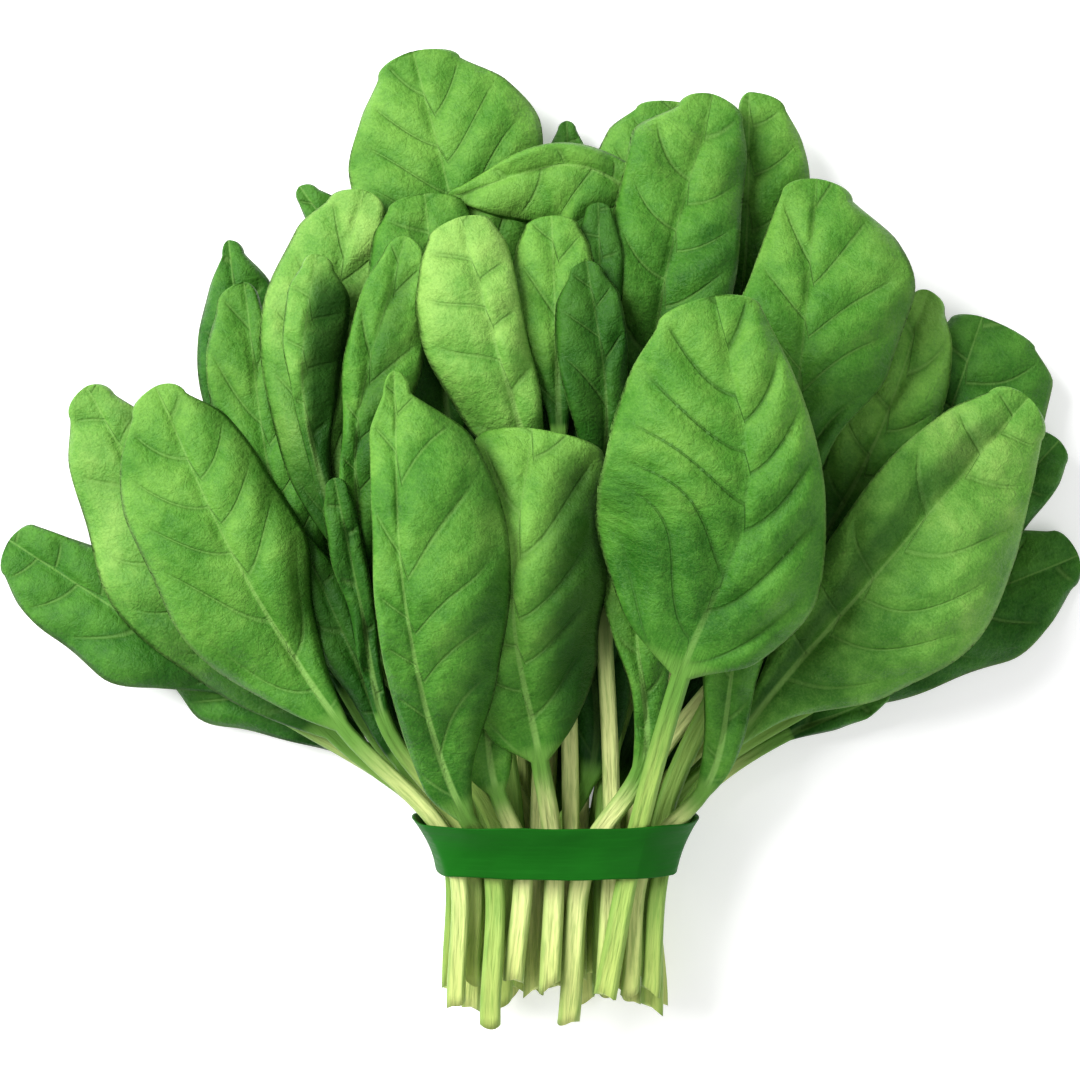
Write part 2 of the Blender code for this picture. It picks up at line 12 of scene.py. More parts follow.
import bpy
import numpy as np
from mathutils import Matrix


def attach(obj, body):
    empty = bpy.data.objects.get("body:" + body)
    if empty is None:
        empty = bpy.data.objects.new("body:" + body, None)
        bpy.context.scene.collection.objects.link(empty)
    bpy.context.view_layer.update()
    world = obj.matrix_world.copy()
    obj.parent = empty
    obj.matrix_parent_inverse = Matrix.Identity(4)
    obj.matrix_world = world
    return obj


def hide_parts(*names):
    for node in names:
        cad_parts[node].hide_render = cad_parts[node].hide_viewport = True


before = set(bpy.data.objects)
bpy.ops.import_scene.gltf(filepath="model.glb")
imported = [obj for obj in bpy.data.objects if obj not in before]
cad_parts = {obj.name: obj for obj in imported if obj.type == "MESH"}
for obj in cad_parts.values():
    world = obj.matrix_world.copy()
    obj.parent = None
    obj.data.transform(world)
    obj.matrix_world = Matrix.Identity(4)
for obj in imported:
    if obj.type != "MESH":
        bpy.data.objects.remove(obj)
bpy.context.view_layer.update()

MM = 0.001

# Sizes that part.py holds too
BLADE_THICK = 1.0
ROUND_TO_FLAT = 0.24  # share of the blade over which the round stalk flattens
NARROW_TIP = 1.3  # least half width, at a coarse tip
BLADE_STEPS = 9
SMALL_BLADE_STEPS = 7
SMALL_HALF_WIDTH = 11.0  # a leaf narrower than this has fewer sections
TIP_SECTION = 0.99  # share of the blade where one more section rounds off the tip
EDGE_AT = (0.1, 0.3, 0.5, 0.7, 0.85, 0.95)  # shares of the blade where its half widths are given
OVAL = (0.42, 0.82, 1.0, 0.95, 0.74, 0.45)
STALK_RADIUS_BASE = 2.1  # where the blade starts
STALK_RADIUS_CUT = 2.5
STALK_STEP = 17.0
CUT_END_NARROWS = 0.97
CUT_LENGTHS = (33.0, 43.0)
BAND_HALF_LENGTH = 7.0
BAND_WALL = 1.1
BAND_CLEAR = 0.45
BAND_FLAT_HALF = 13.0  # of the flat stretch that the bunch rests on
BAND_AT = 2.0  # the band's middle along the stalks
BAND_LEAN = 0.06  # how far the band leans towards the cut ends for each millimetre up
NECK_FLAT_HALF = 15.0
NECK_HALF_WIDTH = 33.0
NECK_SIDE_RISE = 5.0
NECK_LAYER = 4.2
BAND_SQUEEZE = 0.92
VIEW_HEIGHT = 1200.0  # of the camera
VIEW_OVER = (-4.0, 81.0)
READ_AT = 40.0  # height at which the photograph's scale holds
CELL = 0.5
LEAF_GAP = 0.35
BEND = 0.005
LAY_ROUNDS = 30
COARSE_MOST_SHORT = 4000  # cells that one round mends
SETTLED = 0.01
FIELD = (-150.0, 150.0, -55.0, 218.0)  # left, right, near and far end of the height map
COARSE_ACROSS = np.array([-1.0, -0.5, 0.0, 0.5, 1.0])
COARSE_ANGLES = np.radians([162.0, 126.0, 90.0, 54.0, 18.0])

# The fine sections
FINE_STEP = 1.5  # between sections of a blade that shows
HIDDEN_STEP = 3.0
FINE_STALK_STEP = 3.0
FINE_BLADE_THICK = 0.7
FINE_NARROW_TIP = 0.4
FINE_GAP = 0.12
THINNEST = 0.1  # of a skin that was raised off the floor
FINE_BEND = 0.02
FINE_ROUNDS = 8
TIP_CROWDING = 2.2  # how strongly the sections gather at the tip
SAMPLES = 3  # places along each side of a fine quad that are kept clear
MOST_SHORT = 1500  # samples that one round mends
MIDRIB_GROOVE = 1.1
MIDRIB_GROOVE_WIDTH = 1.6
SIDE_VEIN_SPACING = 18.0
SIDE_VEIN_RISE = 0.75  # how far a side vein climbs for each millimetre outwards
SIDE_VEIN_ARCH = 0.016
SIDE_VEIN_DEPTH = 1.0
SIDE_VEIN_WIDTH = 1.7
PUCKER = 0.9
UNDULATION = 1.5
PUCKER_REACH = 4.0
STALK_CHANNEL = 0.35  # share of the stalk's upper half that its groove takes
STALK_CHANNEL_WIDTH = 0.42  # share of the stalk's half width
WAVES = 4
WAVE_LENGTHS = (16, 38)
FRILL = 0.55
FRILL_LENGTHS = (3.4, 4.6)
CURL = 0.9
WAVY_HALF_WIDTH = 18.0  # a leaf narrower than this is less wavy
FEWEST_COLUMNS, MOST_COLUMNS = 7, 18  # to each side of the midrib
CUT_SLANT = 0.9
CUT_TEETH = 0.7
CUT_PINCH = 0.35
CUT_FADE = 0.35  # share of the way from the cut end to the neck

# The fine band
BAND_SIDES = 240
BAND_ROUND_ROWS = 9
BAND_SOFT = 14  # directions to each side that the band's bend is spread over
BAND_SNUG = 0.6  # share of its clearance that is left when it is stretched
BAND_EDGE = 0.45  # radius of its rounded edges
BAND_EDGE_TURNS = (0.5, 1.1, math.pi / 2)
BAND_SWELLS = ((0.12, 7.0, 0.0), (0.08, 3.1, 1.0))  # height, length and start of its edges' slow waves

# Seeds of what part.py leaves to chance, of the fine sections and of the leaves' tints
CHANCE_SEED, DETAIL_SEED, TINT_SEED = 11, 29, 5

# The photograph, the room and the camera
MM_PER_PIXEL = 0.26
PHOTO_PIXELS = 1080
SENSOR_WIDTH = 36.0
FLOOR_HALF = 3000.0
FLOOR_WHITE = (0.92, 0.92, 0.92)
FLOOR_GLOW = 0.30  # the white floor shines a little, which keeps the shadow faint
ROOM_LIGHT = 0.46
LIGHTS_AIM = (0.0, 0.08, 0.02)
# Name, place and width in metres, and power in watts
LIGHTS = (("key", (-1.15, 0.75, 1.25), 1.30, 60.0), ("fill", (0.9, -0.5, 1.3), 1.20, 8.0))


def leaf(name, neck, base, tip, edges, cut=None, bow=0.0, arch=5.0, tilt=0.0, fold=0.30,
         droop=(0.42, 0.42), wave=1.6, cycles=2.0, stout=1.0, tone="mid"):
    """One leaf's driving sizes. base and tip are (x, y, z) of the blade's two ends. edges are its half
    widths at EDGE_AT, left and right of the midrib. neck is its stalk's x inside the band and cut the
    (x, y) of the stalk's end. bow and arch move the middle of the midrib sideways and up. tilt and fold
    slope and raise the two halves, and droop lowers the left and the right one. wave and cycles ruffle
    the margin, stout thickens the stalk and tone is one of LEAF_COLOURS."""
    return dict(name=name, neck=neck, base=base, tip=tip, edges=edges, cut=cut, bow=bow, arch=arch,
                tilt=tilt, fold=fold, droop=droop, wave=wave, cycles=cycles, stout=stout, tone=tone)


def oval(left, right):
    """Half widths of a plain oval blade, from those at its broadest."""
    return tuple(left * share for share in OVAL), tuple(right * share for share in OVAL)


# Four layers, from the lowest leaf to the highest. Each leaf lies over those before it, and each layer is
# a fan of stalks side by side in the band.

# Leaves on the surface, most of them hidden
ON_SURFACE = [
    leaf("under_top", 1, (1, 11, 5), (14, 172, 0.5), oval(20, 20), arch=1, tone="dark"),
    leaf("under_left", -19, (-34, 24, 5), (-101, 106, 0.5), oval(17, 17), arch=1, tone="dark"),
    leaf("under_right", 16, (20, 14, 5), (104, 118, 0.5), oval(24, 15), arch=1, tone="dark"),
    leaf("under_left_up", -12.5, (-22, 28, 5), (-74, 142, 0.5), oval(17, 17), arch=1, tone="dark"),
    leaf("under_top_right", 8.5, (14, 16, 5), (62, 160, 0.5), oval(18, 18), arch=1, tone="dark"),
    leaf("under_top_left", -5.5, (-8, 30, 5), (-32, 166, 0.5), oval(19, 19), arch=1, tone="dark"),
    leaf("right_low_back", 25, (52, 38, 8), (136, 77, 4),
         ((3, 10, 14, 14, 13, 9), (4, 15, 17.5, 20, 14, 7.5)), bow=-2, arch=4, tilt=0.1, tone="dark"),
    leaf("left_low", -25, (-50, 27, 8), (-103, 53, 4),
         ((5, 7, 10, 12, 8.5, 5), (5, 8, 10, 10, 8, 5)), arch=3, wave=2.2, cycles=2.6, tone="dark"),
    leaf("left_far_low", -31, (-76, 39, 11), (-142, 81, 6),
         ((4, 11, 17, 16, 13, 8.5), (4, 10, 13, 12, 9, 7)), arch=6, fold=0.5, tone="dark"),
    leaf("right_small_low", 31, (60, 30.5, 5), (86, 41.5, 4),
         ((2.2, 4, 5, 4.5, 3.5, 2.4), (2.2, 3, 4, 4, 3, 2)), arch=1, wave=0.6, stout=0.8, tone="dark"),
]
# The back of the fan, whose tips make the outline
BACK = [
    leaf("back_top_tip", -2.5, (4, 140, 12), (3, 190, 8),
         ((3, 6, 7.5, 7, 5, 2.5), (3, 6, 7.5, 7, 5, 2.5)), wave=0.8, tone="dark"),
    leaf("right_far_low", 28.5, (92, 58, 12), (131, 107, 9),
         ((4, 9, 12, 11, 9, 6.5), (4, 8, 10, 9.5, 8, 5.5)), bow=-2, tone="dark"),
    leaf("back_left_tip", -16, (-36, 115, 14), (-66.5, 173, 10),
         ((3, 5, 6.5, 6, 4.5, 2.8), (3, 8, 11, 10, 7, 3.5)), bow=4, wave=1.0, tone="dark"),
    leaf("back_top_right", 4.5, (22, 128, 12), (32, 195, 10),
         ((8, 18, 21, 20, 18, 11), (8, 16, 18, 18, 15, 9))),
    leaf("right_far", 23, (88, 74, 14), (111, 139, 12),
         ((4, 9, 11, 12, 11, 8), (8, 20, 25, 26, 24, 16)), tone="dark"),
    leaf("back_top_left", -9, (-19, 120, 15), (-37, 208, 14),
         ((8, 18, 23, 24, 18.5, 11), (8, 18, 25, 27, 22, 12)), arch=7, bow=2, wave=2.2),
    leaf("left_point_back", -22, (-66, 80, 16), (-85, 159, 13),
         ((4, 9, 12, 11, 7, 2.2), (4, 10, 13, 13, 10, 3.8)), bow=-4, tone="dark"),
    leaf("back_right_tall", 11.5, (44, 112, 16), (50.5, 197.5, 16),
         ((4, 6, 6, 6, 5, 2.8), (6, 13, 16, 17, 14, 9.5)), bow=2, wave=2.0),
    leaf("left_pale", -28.5, (-58, 31, 15), (-122, 121, 13),
         ((8, 18, 22, 18.5, 15, 8.2), (5, 10, 13, 14, 11, 5.5)), bow=-5, arch=9, tilt=0.08,
         tone="light"),
    leaf("right_mid", 18, (64, 72, 20), (97, 146, 18),
         ((4, 9, 12, 11, 7, 4), (5, 12, 14, 14, 11, 6)), bow=3, arch=9, tilt=-0.1),
]
# The middle of the bunch
MIDDLE = [
    leaf("upper_cross", 22, (36, 154, 22), (-28, 170, 22),
         ((8, 16, 17, 15, 9, 3), (4, 6, 6, 5.5, 4, 2.2)), bow=16, arch=8, tilt=0.15),
    leaf("left_mid", -30.5, (-52, 38, 21), (-81, 148, 24),
         ((3, 9, 13, 13, 11.7, 8), (3, 8, 13, 12, 6, 3.5)), bow=-6, arch=9, wave=2.6, cycles=2.8),
    leaf("left_inner_dark", -24.5, (-40, 24, 18), (-66, 82, 22),
         ((3, 5, 7, 7, 6, 4), (3, 5, 6, 6, 5, 3)), arch=3, tone="dark"),
    leaf("upper_right_tall", 14, (22, 92, 24), (41, 197, 24),
         ((7, 13, 14.5, 18, 18, 8), (7, 14, 17.5, 16, 14, 9.5)), bow=-4, arch=12, fold=0.5,
         stout=1.2),
    leaf("left_broad", -6, (-54, 78, 22), (-50, 172, 28),
         ((6, 12, 15, 17, 15, 8.5), (5, 9, 11, 12, 11, 7)), cut=(-5.5, -38), bow=-9, arch=4,
         fold=0.1, tone="light"),
    leaf("left_folded", -18, (-57, 86, 26), (-62, 155, 33),
         ((2.2, 2.2, 3, 6.2, 6, 3.2), (2.2, 5, 9, 11, 10, 5)), bow=-5.5, arch=3, tilt=-0.3,
         fold=-0.5, droop=(0, 0), wave=0.8, tone="light"),
    leaf("upper_left_back", -11, (-27, 104, 28), (-34, 171, 28),
         ((5, 10, 13, 16, 15, 10), (5, 10, 12, 14, 13, 10)), wave=2.6, cycles=2.4, stout=1.1),
    leaf("round_tiny", 7, (12, 120, 26), (11, 168, 26),
         ((2.4, 4.5, 6, 6, 5, 3.6), (2.4, 4.5, 6, 6, 5, 3.6)), wave=0.5, tone="dark"),
    leaf("inner_dark", -1, (8, 18, 18), (0, 148, 28),
         ((6, 10, 12, 12, 10, 7), (6, 12, 14, 13, 9, 6)), arch=4, tone="dark"),
    leaf("right_upper", 29, (58, 78, 26), (68, 175, 30),
         ((7, 16, 22, 15, 12, 9), (5, 10, 24, 28, 22, 10)), arch=14, wave=2.2, stout=1.2),
    leaf("round_small", 4.5, (1, 108, 32), (-1, 165, 34),
         ((3, 8, 11, 11, 10, 7), (3, 8, 11, 11, 10, 7)), wave=0.5),
    leaf("inner_folded", 16, (12, 84, 32), (8, 153, 36),
         ((3, 7, 10, 12, 10, 5), (2.4, 5, 6, 7, 7, 4)), cut=(13, -38), bow=3, fold=0.4,
         droop=(0.3, 0.3), tone="dark"),
]
# The front, which the others carry
FRONT = [
    leaf("left_centre_long", -15, (-44, 52, 32), (-39, 160, 42),
         ((3, 4.4, 4, 7, 7, 4.5), (3, 8, 10, 14, 11, 6)), bow=-10, arch=9, wave=2.0),
    leaf("upper_centre", -5, (-6, 98, 40), (-25, 165, 44),
         ((8, 15, 17, 18, 14, 9.3), (5, 7.5, 9.2, 9.5, 10, 8)), cut=(-6, -38), arch=10, fold=0.15,
         droop=(0.5, 0.6), tone="light"),
    leaf("left_inner_low", -24.5, (-44, 34, 26), (-57, 97, 36),
         ((2.2, 3, 4, 5, 5, 3), (2.2, 3, 3.5, 4, 4, 3)), arch=2, wave=1.8, cycles=2.5, tone="dark"),
    leaf("left_big", -29.5, (-55, 33, 24), (-104, 121, 30),
         ((9, 19, 23, 21.5, 16.5, 9), (4.5, 11.5, 18.5, 18, 14, 6.5)), cut=(-26, -41), bow=-3,
         arch=13, droop=(0.42, 0.6)),
    leaf("front_right_long", 32, (47, 29, 22), (123, 118, 30),
         ((4, 11, 16, 16.5, 14.5, 9), (7, 25, 30, 26.5, 17, 10)), cut=(25, -37.5), bow=-1,
         arch=14, fold=0.5, droop=(0.55, 0.6), tone="light"),
    leaf("low_centre", -10, (-15, 16, 24), (-23, 74, 38),
         ((6, 7, 8, 8, 7, 4), (5, 8, 10, 10, 8, 5)), cut=(-11, -34), arch=3, stout=1.1),
    leaf("right_base_wide", 27, (38, 16, 24), (56, 90, 46),
         ((4, 6, 8, 9, 8, 5), (4, 6.5, 7.5, 8, 7, 4)), cut=(19.5, -38.5), arch=4),
    leaf("right_base_small", 10, (22, 22, 26), (20, 92, 50),
         ((3.2, 3.4, 6, 9, 8, 6), (4, 6.5, 9, 9, 8, 5)), cut=(3.5, -46), arch=6, stout=1.2),
    leaf("centre", -0.5, (-4, 24, 31), (-6, 110, 50),
         ((12, 16, 17, 17, 17, 14), (11, 21.5, 23, 23, 23, 19)), cut=(-1.5, -36), bow=-6, arch=16,
         fold=0.1, droop=(0.3, 0.75), wave=0.8, stout=1.15),
    leaf("front_left", -19.5, (-23, 10, 25), (-42, 125, 56),
         ((7, 8, 7.5, 7, 7, 3), (6.5, 19.5, 28, 25.5, 20, 4)), cut=(-17, -46), bow=-6, arch=17,
         fold=0.2, droop=(0.2, 0.55), stout=1.1),
    leaf("front_right", 22, (32, 46, 38), (41.5, 144.5, 64),
         ((20, 34.5, 36, 33.5, 26, 16), (17, 25.5, 20.5, 16.5, 13.5, 11)), cut=(13, -38), bow=12, arch=16,
         fold=0.26, wave=2.0, cycles=0.7, stout=1.2),
]
LAYERS = [ON_SURFACE, BACK, MIDDLE, FRONT]


def smooth(t):
    """0 to 1 with level ends."""
    t = np.clip(t, 0.0, 1.0)
    return t * t * (3.0 - 2.0 * t)


def curve_through(knots, times):
    """Points of the smooth curve through the knots, at times counted in knots."""
    knots = np.asarray(knots, float)
    steps = np.linalg.norm(np.diff(knots, axis=0), axis=1)
    speeds = np.diff(knots, axis=0) / steps[:, None]
    tangents = np.empty_like(knots)
    tangents[0], tangents[-1] = speeds[0], speeds[-1]
    share = (steps[:-1] / (steps[:-1] + steps[1:]))[:, None]
    tangents[1:-1] = (1.0 - share) * speeds[:-1] + share * speeds[1:]
    first = np.clip(np.floor(times).astype(int), 0, len(steps) - 1)
    t = (times - first)[:, None]
    length = steps[first][:, None]
    return ((2 * t**3 - 3 * t**2 + 1) * knots[first] + (t**3 - 2 * t**2 + t) * length * tangents[first]
            + (3 * t**2 - 2 * t**3) * knots[first + 1] + (t**3 - t**2) * length * tangents[first + 1])


def neck_floor(x):
    """The band's inner wall under the stalks."""
    side = np.clip((np.abs(x) - NECK_FLAT_HALF) / (NECK_HALF_WIDTH - NECK_FLAT_HALF), 0.0, 1.3)
    return BAND_WALL + BAND_CLEAR + NECK_SIDE_RISE * side**2


def true_place(place):
    """A place as it is, for one seen from VIEW_HEIGHT above VIEW_OVER and read off at READ_AT."""
    x, y, z = place
    nearer = (VIEW_HEIGHT - z) / (VIEW_HEIGHT - READ_AT)
    return np.array([VIEW_OVER[0] + (x - VIEW_OVER[0]) * nearer,
                     VIEW_OVER[1] + (y - VIEW_OVER[1]) * nearer, z])


# How deep the side veins are and how much painted shade darkens their sunken lines, where it isn't the usual
VEIN_LOOKS = {"front_right": (1.5, 0.9), "right_upper": (1.2, 0.35), "upper_right_tall": (1.2, 0.3),
              "centre": (1.2, 0.2), "left_centre_long": (1.2, 0.3)}
USUAL_VEINS = (1.0, 0.0)

# Painted shade: how much darker than its tone a leaf deep inside the bunch is painted, where the leaves
# around it shade it
DEEP_PAINTED_SHADE = {"inner_dark": 0.7, "inner_folded": 0.45, "round_tiny": 0.5, "left_inner_dark": 0.6,
               "left_inner_low": 0.3, "left_mid": 0.1, "back_top_tip": 0.2, "under_top": 0.85,
               "under_left": 0.85, "under_right": 0.85, "under_left_up": 0.85, "under_top_right": 0.85,
               "under_top_left": 0.85, "right_base_small": 0.15}
# Stripes of painted shade along a leaf, where it folds away from the light: their middle and half width, as
# shares of the half width from the midrib (left is negative), and how dark they are
PAINTED_SHADE_STRIPES = {"centre": (0.80, 0.48, 0.8), "left_folded": (0.55, 0.6, 0.85),
                "front_left": (1.0, 0.35, 0.35), "left_big": (1.0, 0.4, 0.35),
                "front_right_long": (-0.26, 0.22, 0.6), "upper_right_tall": (1.0, 0.5, 0.45),
                "left_centre_long": (0.25, 0.25, 0.4), "right_upper": (0.9, 0.3, 0.25),
                "back_right_tall": (-0.7, 0.6, 0.5), "left_pale": (0.9, 0.5, 0.4)}
# Painted shade on the lower part of each leaf behind the front ones, where those shade it
LOW_SHADE = 0.75  # how dark the lower part of a leaf behind the front ones is


def painted_shade_of(net):
    """How much painted shade each place of a leaf takes: deep inside the bunch, low on leaves behind the
    front ones, and in stripes where a leaf folds away.
    """
    dark = np.full(net["middle"].shape, DEEP_PAINTED_SHADE.get(net["name"], 0.0))
    # Painted shade low on leaves behind the front ones
    if net["layer"] < len(LAYERS) - 1:
        dark = np.maximum(dark, LOW_SHADE * (1.0 - smooth(net["s"] / 0.6))[:, None])
    # Painted shade in stripes where the leaf folds away from the light
    if net["name"] in PAINTED_SHADE_STRIPES:
        middle, half, depth = PAINTED_SHADE_STRIPES[net["name"]]
        stripe = depth * np.exp(-(((net["across"] - middle) / half) ** 4))
        fade = smooth(net["s"] / 0.1) * smooth((1.0 - net["s"]) / 0.15)
        dark = np.maximum(dark, stripe[None, :] * fade[:, None])
    return dark


def chances_of(spec, draw):
    """What part.py leaves to chance, drawn in its order: the stalk's cut end and the margins' ripples."""
    neck_x = spec["neck"] * BAND_SQUEEZE
    cut = spec["cut"] or (neck_x * CUT_END_NARROWS + draw.uniform(-0.6, 0.6), -draw.uniform(*CUT_LENGTHS))
    return dict(cut=cut, phase=(draw.uniform(0, math.tau), draw.uniform(0, math.tau)))


def knots_of(spec, layer, chance):
    """The five points that a stalk and its midrib run through: cut end, neck, base, middle and tip."""
    base, tip = true_place(spec["base"]), true_place(spec["tip"])
    neck_x = spec["neck"] * BAND_SQUEEZE
    height = neck_floor(neck_x) + STALK_RADIUS_BASE + NECK_LAYER * layer
    neck = np.array([neck_x, 0.0, height])
    cut = np.array([*chance["cut"], neck[2]])
    along = (tip - base)[:2] / np.linalg.norm((tip - base)[:2])
    right = np.array([along[1], -along[0]])
    middle = (base + tip) / 2.0
    middle[:2] += right * spec["bow"]
    middle[2] += spec["arch"]
    return np.array([cut, neck, base, middle, tip])


def edge_width(s, radius, half_widths):
    """The half width along one margin: from the stalk smoothly through half_widths to a rounded tip."""
    at = np.array([0.0, *EDGE_AT])
    width = np.array([radius, *half_widths])
    steps = np.diff(at)
    rise = np.diff(width) / steps
    before, after = rise[:-1], rise[1:]
    level_off = before * after <= 0
    inner = np.where(level_off, 0.0, 2.0 * before * after / np.where(level_off, 1.0, before + after))
    slope = np.array([rise[0], *inner, rise[-1]])
    k = np.clip(np.searchsorted(at, s, side="right") - 1, 0, len(steps) - 1)
    t = np.clip((s - at[k]) / steps[k], 0.0, 1.0)
    found = ((2 * t**3 - 3 * t**2 + 1) * width[k] + (t**3 - 2 * t**2 + t) * steps[k] * slope[k]
             + (3 * t**2 - 2 * t**3) * width[k + 1] + (t**3 - t**2) * steps[k] * slope[k + 1])
    past = np.clip((s - at[-1]) / (1.0 - at[-1]), 0.0, 1.0)
    return found * np.sqrt(1.0 - past**2)


def broadest(spec):
    return max(max(edge) for edge in spec["edges"])


def coarse_times(spec, knots):
    """Where part.py takes its sections."""
    stalk_length = np.linalg.norm(np.diff(knots[:3], axis=0), axis=1)
    blade_steps = SMALL_BLADE_STEPS if broadest(spec) < SMALL_HALF_WIDTH else BLADE_STEPS
    below = max(2, round(stalk_length[0] / STALK_STEP))
    above = max(1, round(stalk_length[1] / STALK_STEP))
    s = (1.0 - np.cos(np.pi * np.arange(blade_steps + 1) / blade_steps)) / 2.0
    s = np.insert(s, blade_steps, TIP_SECTION)
    return np.concatenate([np.arange(below) / below, 1.0 + np.arange(above) / above, 2.0 + 2.0 * s])


def fine_times(knots, step):
    """Where the fine sections are: closer together near the tip."""
    length = np.linalg.norm(np.diff(knots, axis=0), axis=1)
    below = max(6, round(length[0] / FINE_STALK_STEP))
    above = max(6, round(length[1] / FINE_STALK_STEP))
    rows = max(24, round((length[2] + length[3]) / step))
    even = np.arange(rows + 1) / rows
    closer = 1.0 - (1.0 - even) ** TIP_CROWDING
    s = even + (closer - even) * even**2
    return np.concatenate([np.arange(below) / below, 1.0 + np.arange(above) / above, 2.0 + 2.0 * s])


def net_of(spec, knots, chance, times, across, angles, thick, narrow_tip):
    """A leaf's sections: xy of each place across, height of its middle, and the solid's reach up and down
    from it. flat is 0 on the stalk and 1 on the blade, s runs along the blade."""
    centre = curve_through(knots, times)
    ahead = curve_through(knots, np.clip(times + 0.02, 0, 4))
    ahead = ahead - curve_through(knots, np.clip(times - 0.02, 0, 4))
    run = np.linalg.norm(ahead[:, :2], axis=1)
    right = np.stack([ahead[:, 1], -ahead[:, 0]], 1) / run[:, None]
    slope = ahead[:, 2] / run
    s = np.clip((times - 2.0) / 2.0, 0, 1)
    flat = smooth(s / ROUND_TO_FLAT)[:, None]
    way = np.clip(times / 2.0, 0, 1)
    radius = (STALK_RADIUS_CUT + (STALK_RADIUS_BASE - STALK_RADIUS_CUT) * way) * spec["stout"]
    side = (across[None, :] > 0).astype(int)
    base_radius = STALK_RADIUS_BASE * spec["stout"]
    full = np.stack([edge_width(s, base_radius, edge) for edge in spec["edges"]], 1)[:, side[0]]
    phase = np.array(chance["phase"])[side]
    ripple = np.sin(math.tau * spec["cycles"] * s[:, None] + phase)
    level = np.sin(np.pi * s)[:, None] ** 0.6
    full = np.where(times[:, None] < 2.0, radius[:, None], full)
    width = np.maximum(full * (1.0 + 0.05 * level * ripple), narrow_tip)
    round_out = np.cos(angles)[None, :] * radius[:, None]
    out = flat * across[None, :] * width + (1.0 - flat) * round_out * width / radius[:, None]
    xy = centre[:, None, :2] + right[:, None, :] * out[:, :, None]
    v = np.abs(across)[None, :]
    droop = np.array(spec["droop"])[side]
    shape = width * (spec["fold"] * v - droop * v**2) + spec["tilt"] * across[None, :] * width
    shape = shape + spec["wave"] * v**2 * ripple
    middle = centre[:, 2][:, None] + flat * level * shape
    steep = np.sqrt(1.0 + slope**2)[:, None]
    round_up = np.sin(angles)[None, :] * radius[:, None] * steep
    rib = (radius * (1.0 - s) ** 1.3 * 0.8)[:, None]
    length = np.concatenate([[0.0], np.cumsum(np.linalg.norm(np.diff(centre, axis=0), axis=1))])
    return dict(name=spec["name"], xy=xy, middle=middle, flat=flat, s=s, times=times, out=out, width=width,
                round_up=round_up, rib=rib, thick=thick, length=length, radius=radius)


def with_solid(net, across):
    """Adds how far the solid reaches above and below each place. Only the fine one is rounded at its rib
    and margins and grooved along its stalk."""
    if len(across) == len(COARSE_ACROSS):
        rib, edge, channel = net["rib"] * (across == 0)[None, :], 1.0, 1.0
    else:
        rib = net["rib"] * np.exp(-((net["out"] / (0.35 + 0.8 * net["rib"])) ** 2))
        edge = np.sqrt(np.clip(1.0 - np.abs(across)[None, :] ** 16, 0, 1))
        channel = 1.0 - STALK_CHANNEL * np.exp(-((across[None, :] / STALK_CHANNEL_WIDTH) ** 2))
    flat, half_thick = net["flat"], net["thick"] / 2 * edge
    net["up"] = flat * half_thick + (1.0 - flat) * net["round_up"] * channel
    net["down"] = flat * (half_thick + rib) + (1.0 - flat) * net["round_up"]
    return net


def corner_samples(rows, columns, each):
    """Places spread over a net's quads, as four corners and their shares."""
    i, j = (grid.ravel() for grid in np.meshgrid(np.arange(rows - 1), np.arange(columns - 1), indexing="ij"))
    corners = np.stack([i * columns + j, i * columns + j + 1, (i + 1) * columns + j,
                        (i + 1) * columns + j + 1], 1)
    p, q = (grid.ravel() for grid in np.meshgrid(*[(np.arange(each) + 0.5) / each] * 2, indexing="ij"))
    shares = np.stack([(1 - p) * (1 - q), (1 - p) * q, p * (1 - q), p * q], 1)
    return (np.repeat(corners, len(shares), axis=0), np.tile(shares, (len(corners), 1)))


def triangle_places(rows, columns):
    """The triangles of the net of sections, as places in it, split as part.py splits them."""
    found = []
    for i in range(rows - 1):
        for j in range(columns - 1):
            a, b = i * columns + j, (i + 1) * columns + j
            found += [(a, b + 1, b), (a, a + 1, b + 1)]
    return np.array(found)


def cells_under(xy, triangles):
    """The height map's cells under the leaf, each with the three places and shares that give its height."""
    left, _, near, _ = FIELD
    cells, places, shares = [], [], []
    for tri in triangles:
        a, b, c = xy[tri]
        area = (b[0] - a[0]) * (c[1] - a[1]) - (c[0] - a[0]) * (b[1] - a[1])
        if abs(area) < 1e-9:
            continue
        low, high = np.minimum(np.minimum(a, b), c), np.maximum(np.maximum(a, b), c)
        columns = np.arange(math.floor((low[0] - left) / CELL), math.ceil((high[0] - left) / CELL) + 1)
        lines = np.arange(math.floor((low[1] - near) / CELL), math.ceil((high[1] - near) / CELL) + 1)
        column, line = (grid.ravel() for grid in np.meshgrid(columns, lines))
        x, y = left + column * CELL, near + line * CELL
        share_b = ((x - a[0]) * (c[1] - a[1]) - (c[0] - a[0]) * (y - a[1])) / area
        share_c = ((b[0] - a[0]) * (y - a[1]) - (x - a[0]) * (b[1] - a[1])) / area
        inside = (share_b >= -1e-6) & (share_c >= -1e-6) & (share_b + share_c <= 1 + 1e-6)
        cells.append(np.stack([line[inside], column[inside]], 1))
        places.append(np.broadcast_to(tri, (inside.sum(), 3)))
        shares.append(np.stack([1 - share_b - share_c, share_b, share_c], 1)[inside])
    return np.concatenate(cells), np.concatenate(places), np.concatenate(shares)


def widened(heights):
    """Each cell's height raised to its neighbours' highest."""
    padded = np.pad(heights, 1, mode="edge")
    rows, columns = heights.shape
    return np.max([padded[i:i + rows, j:j + columns] for i in range(3) for j in range(3)], axis=0)


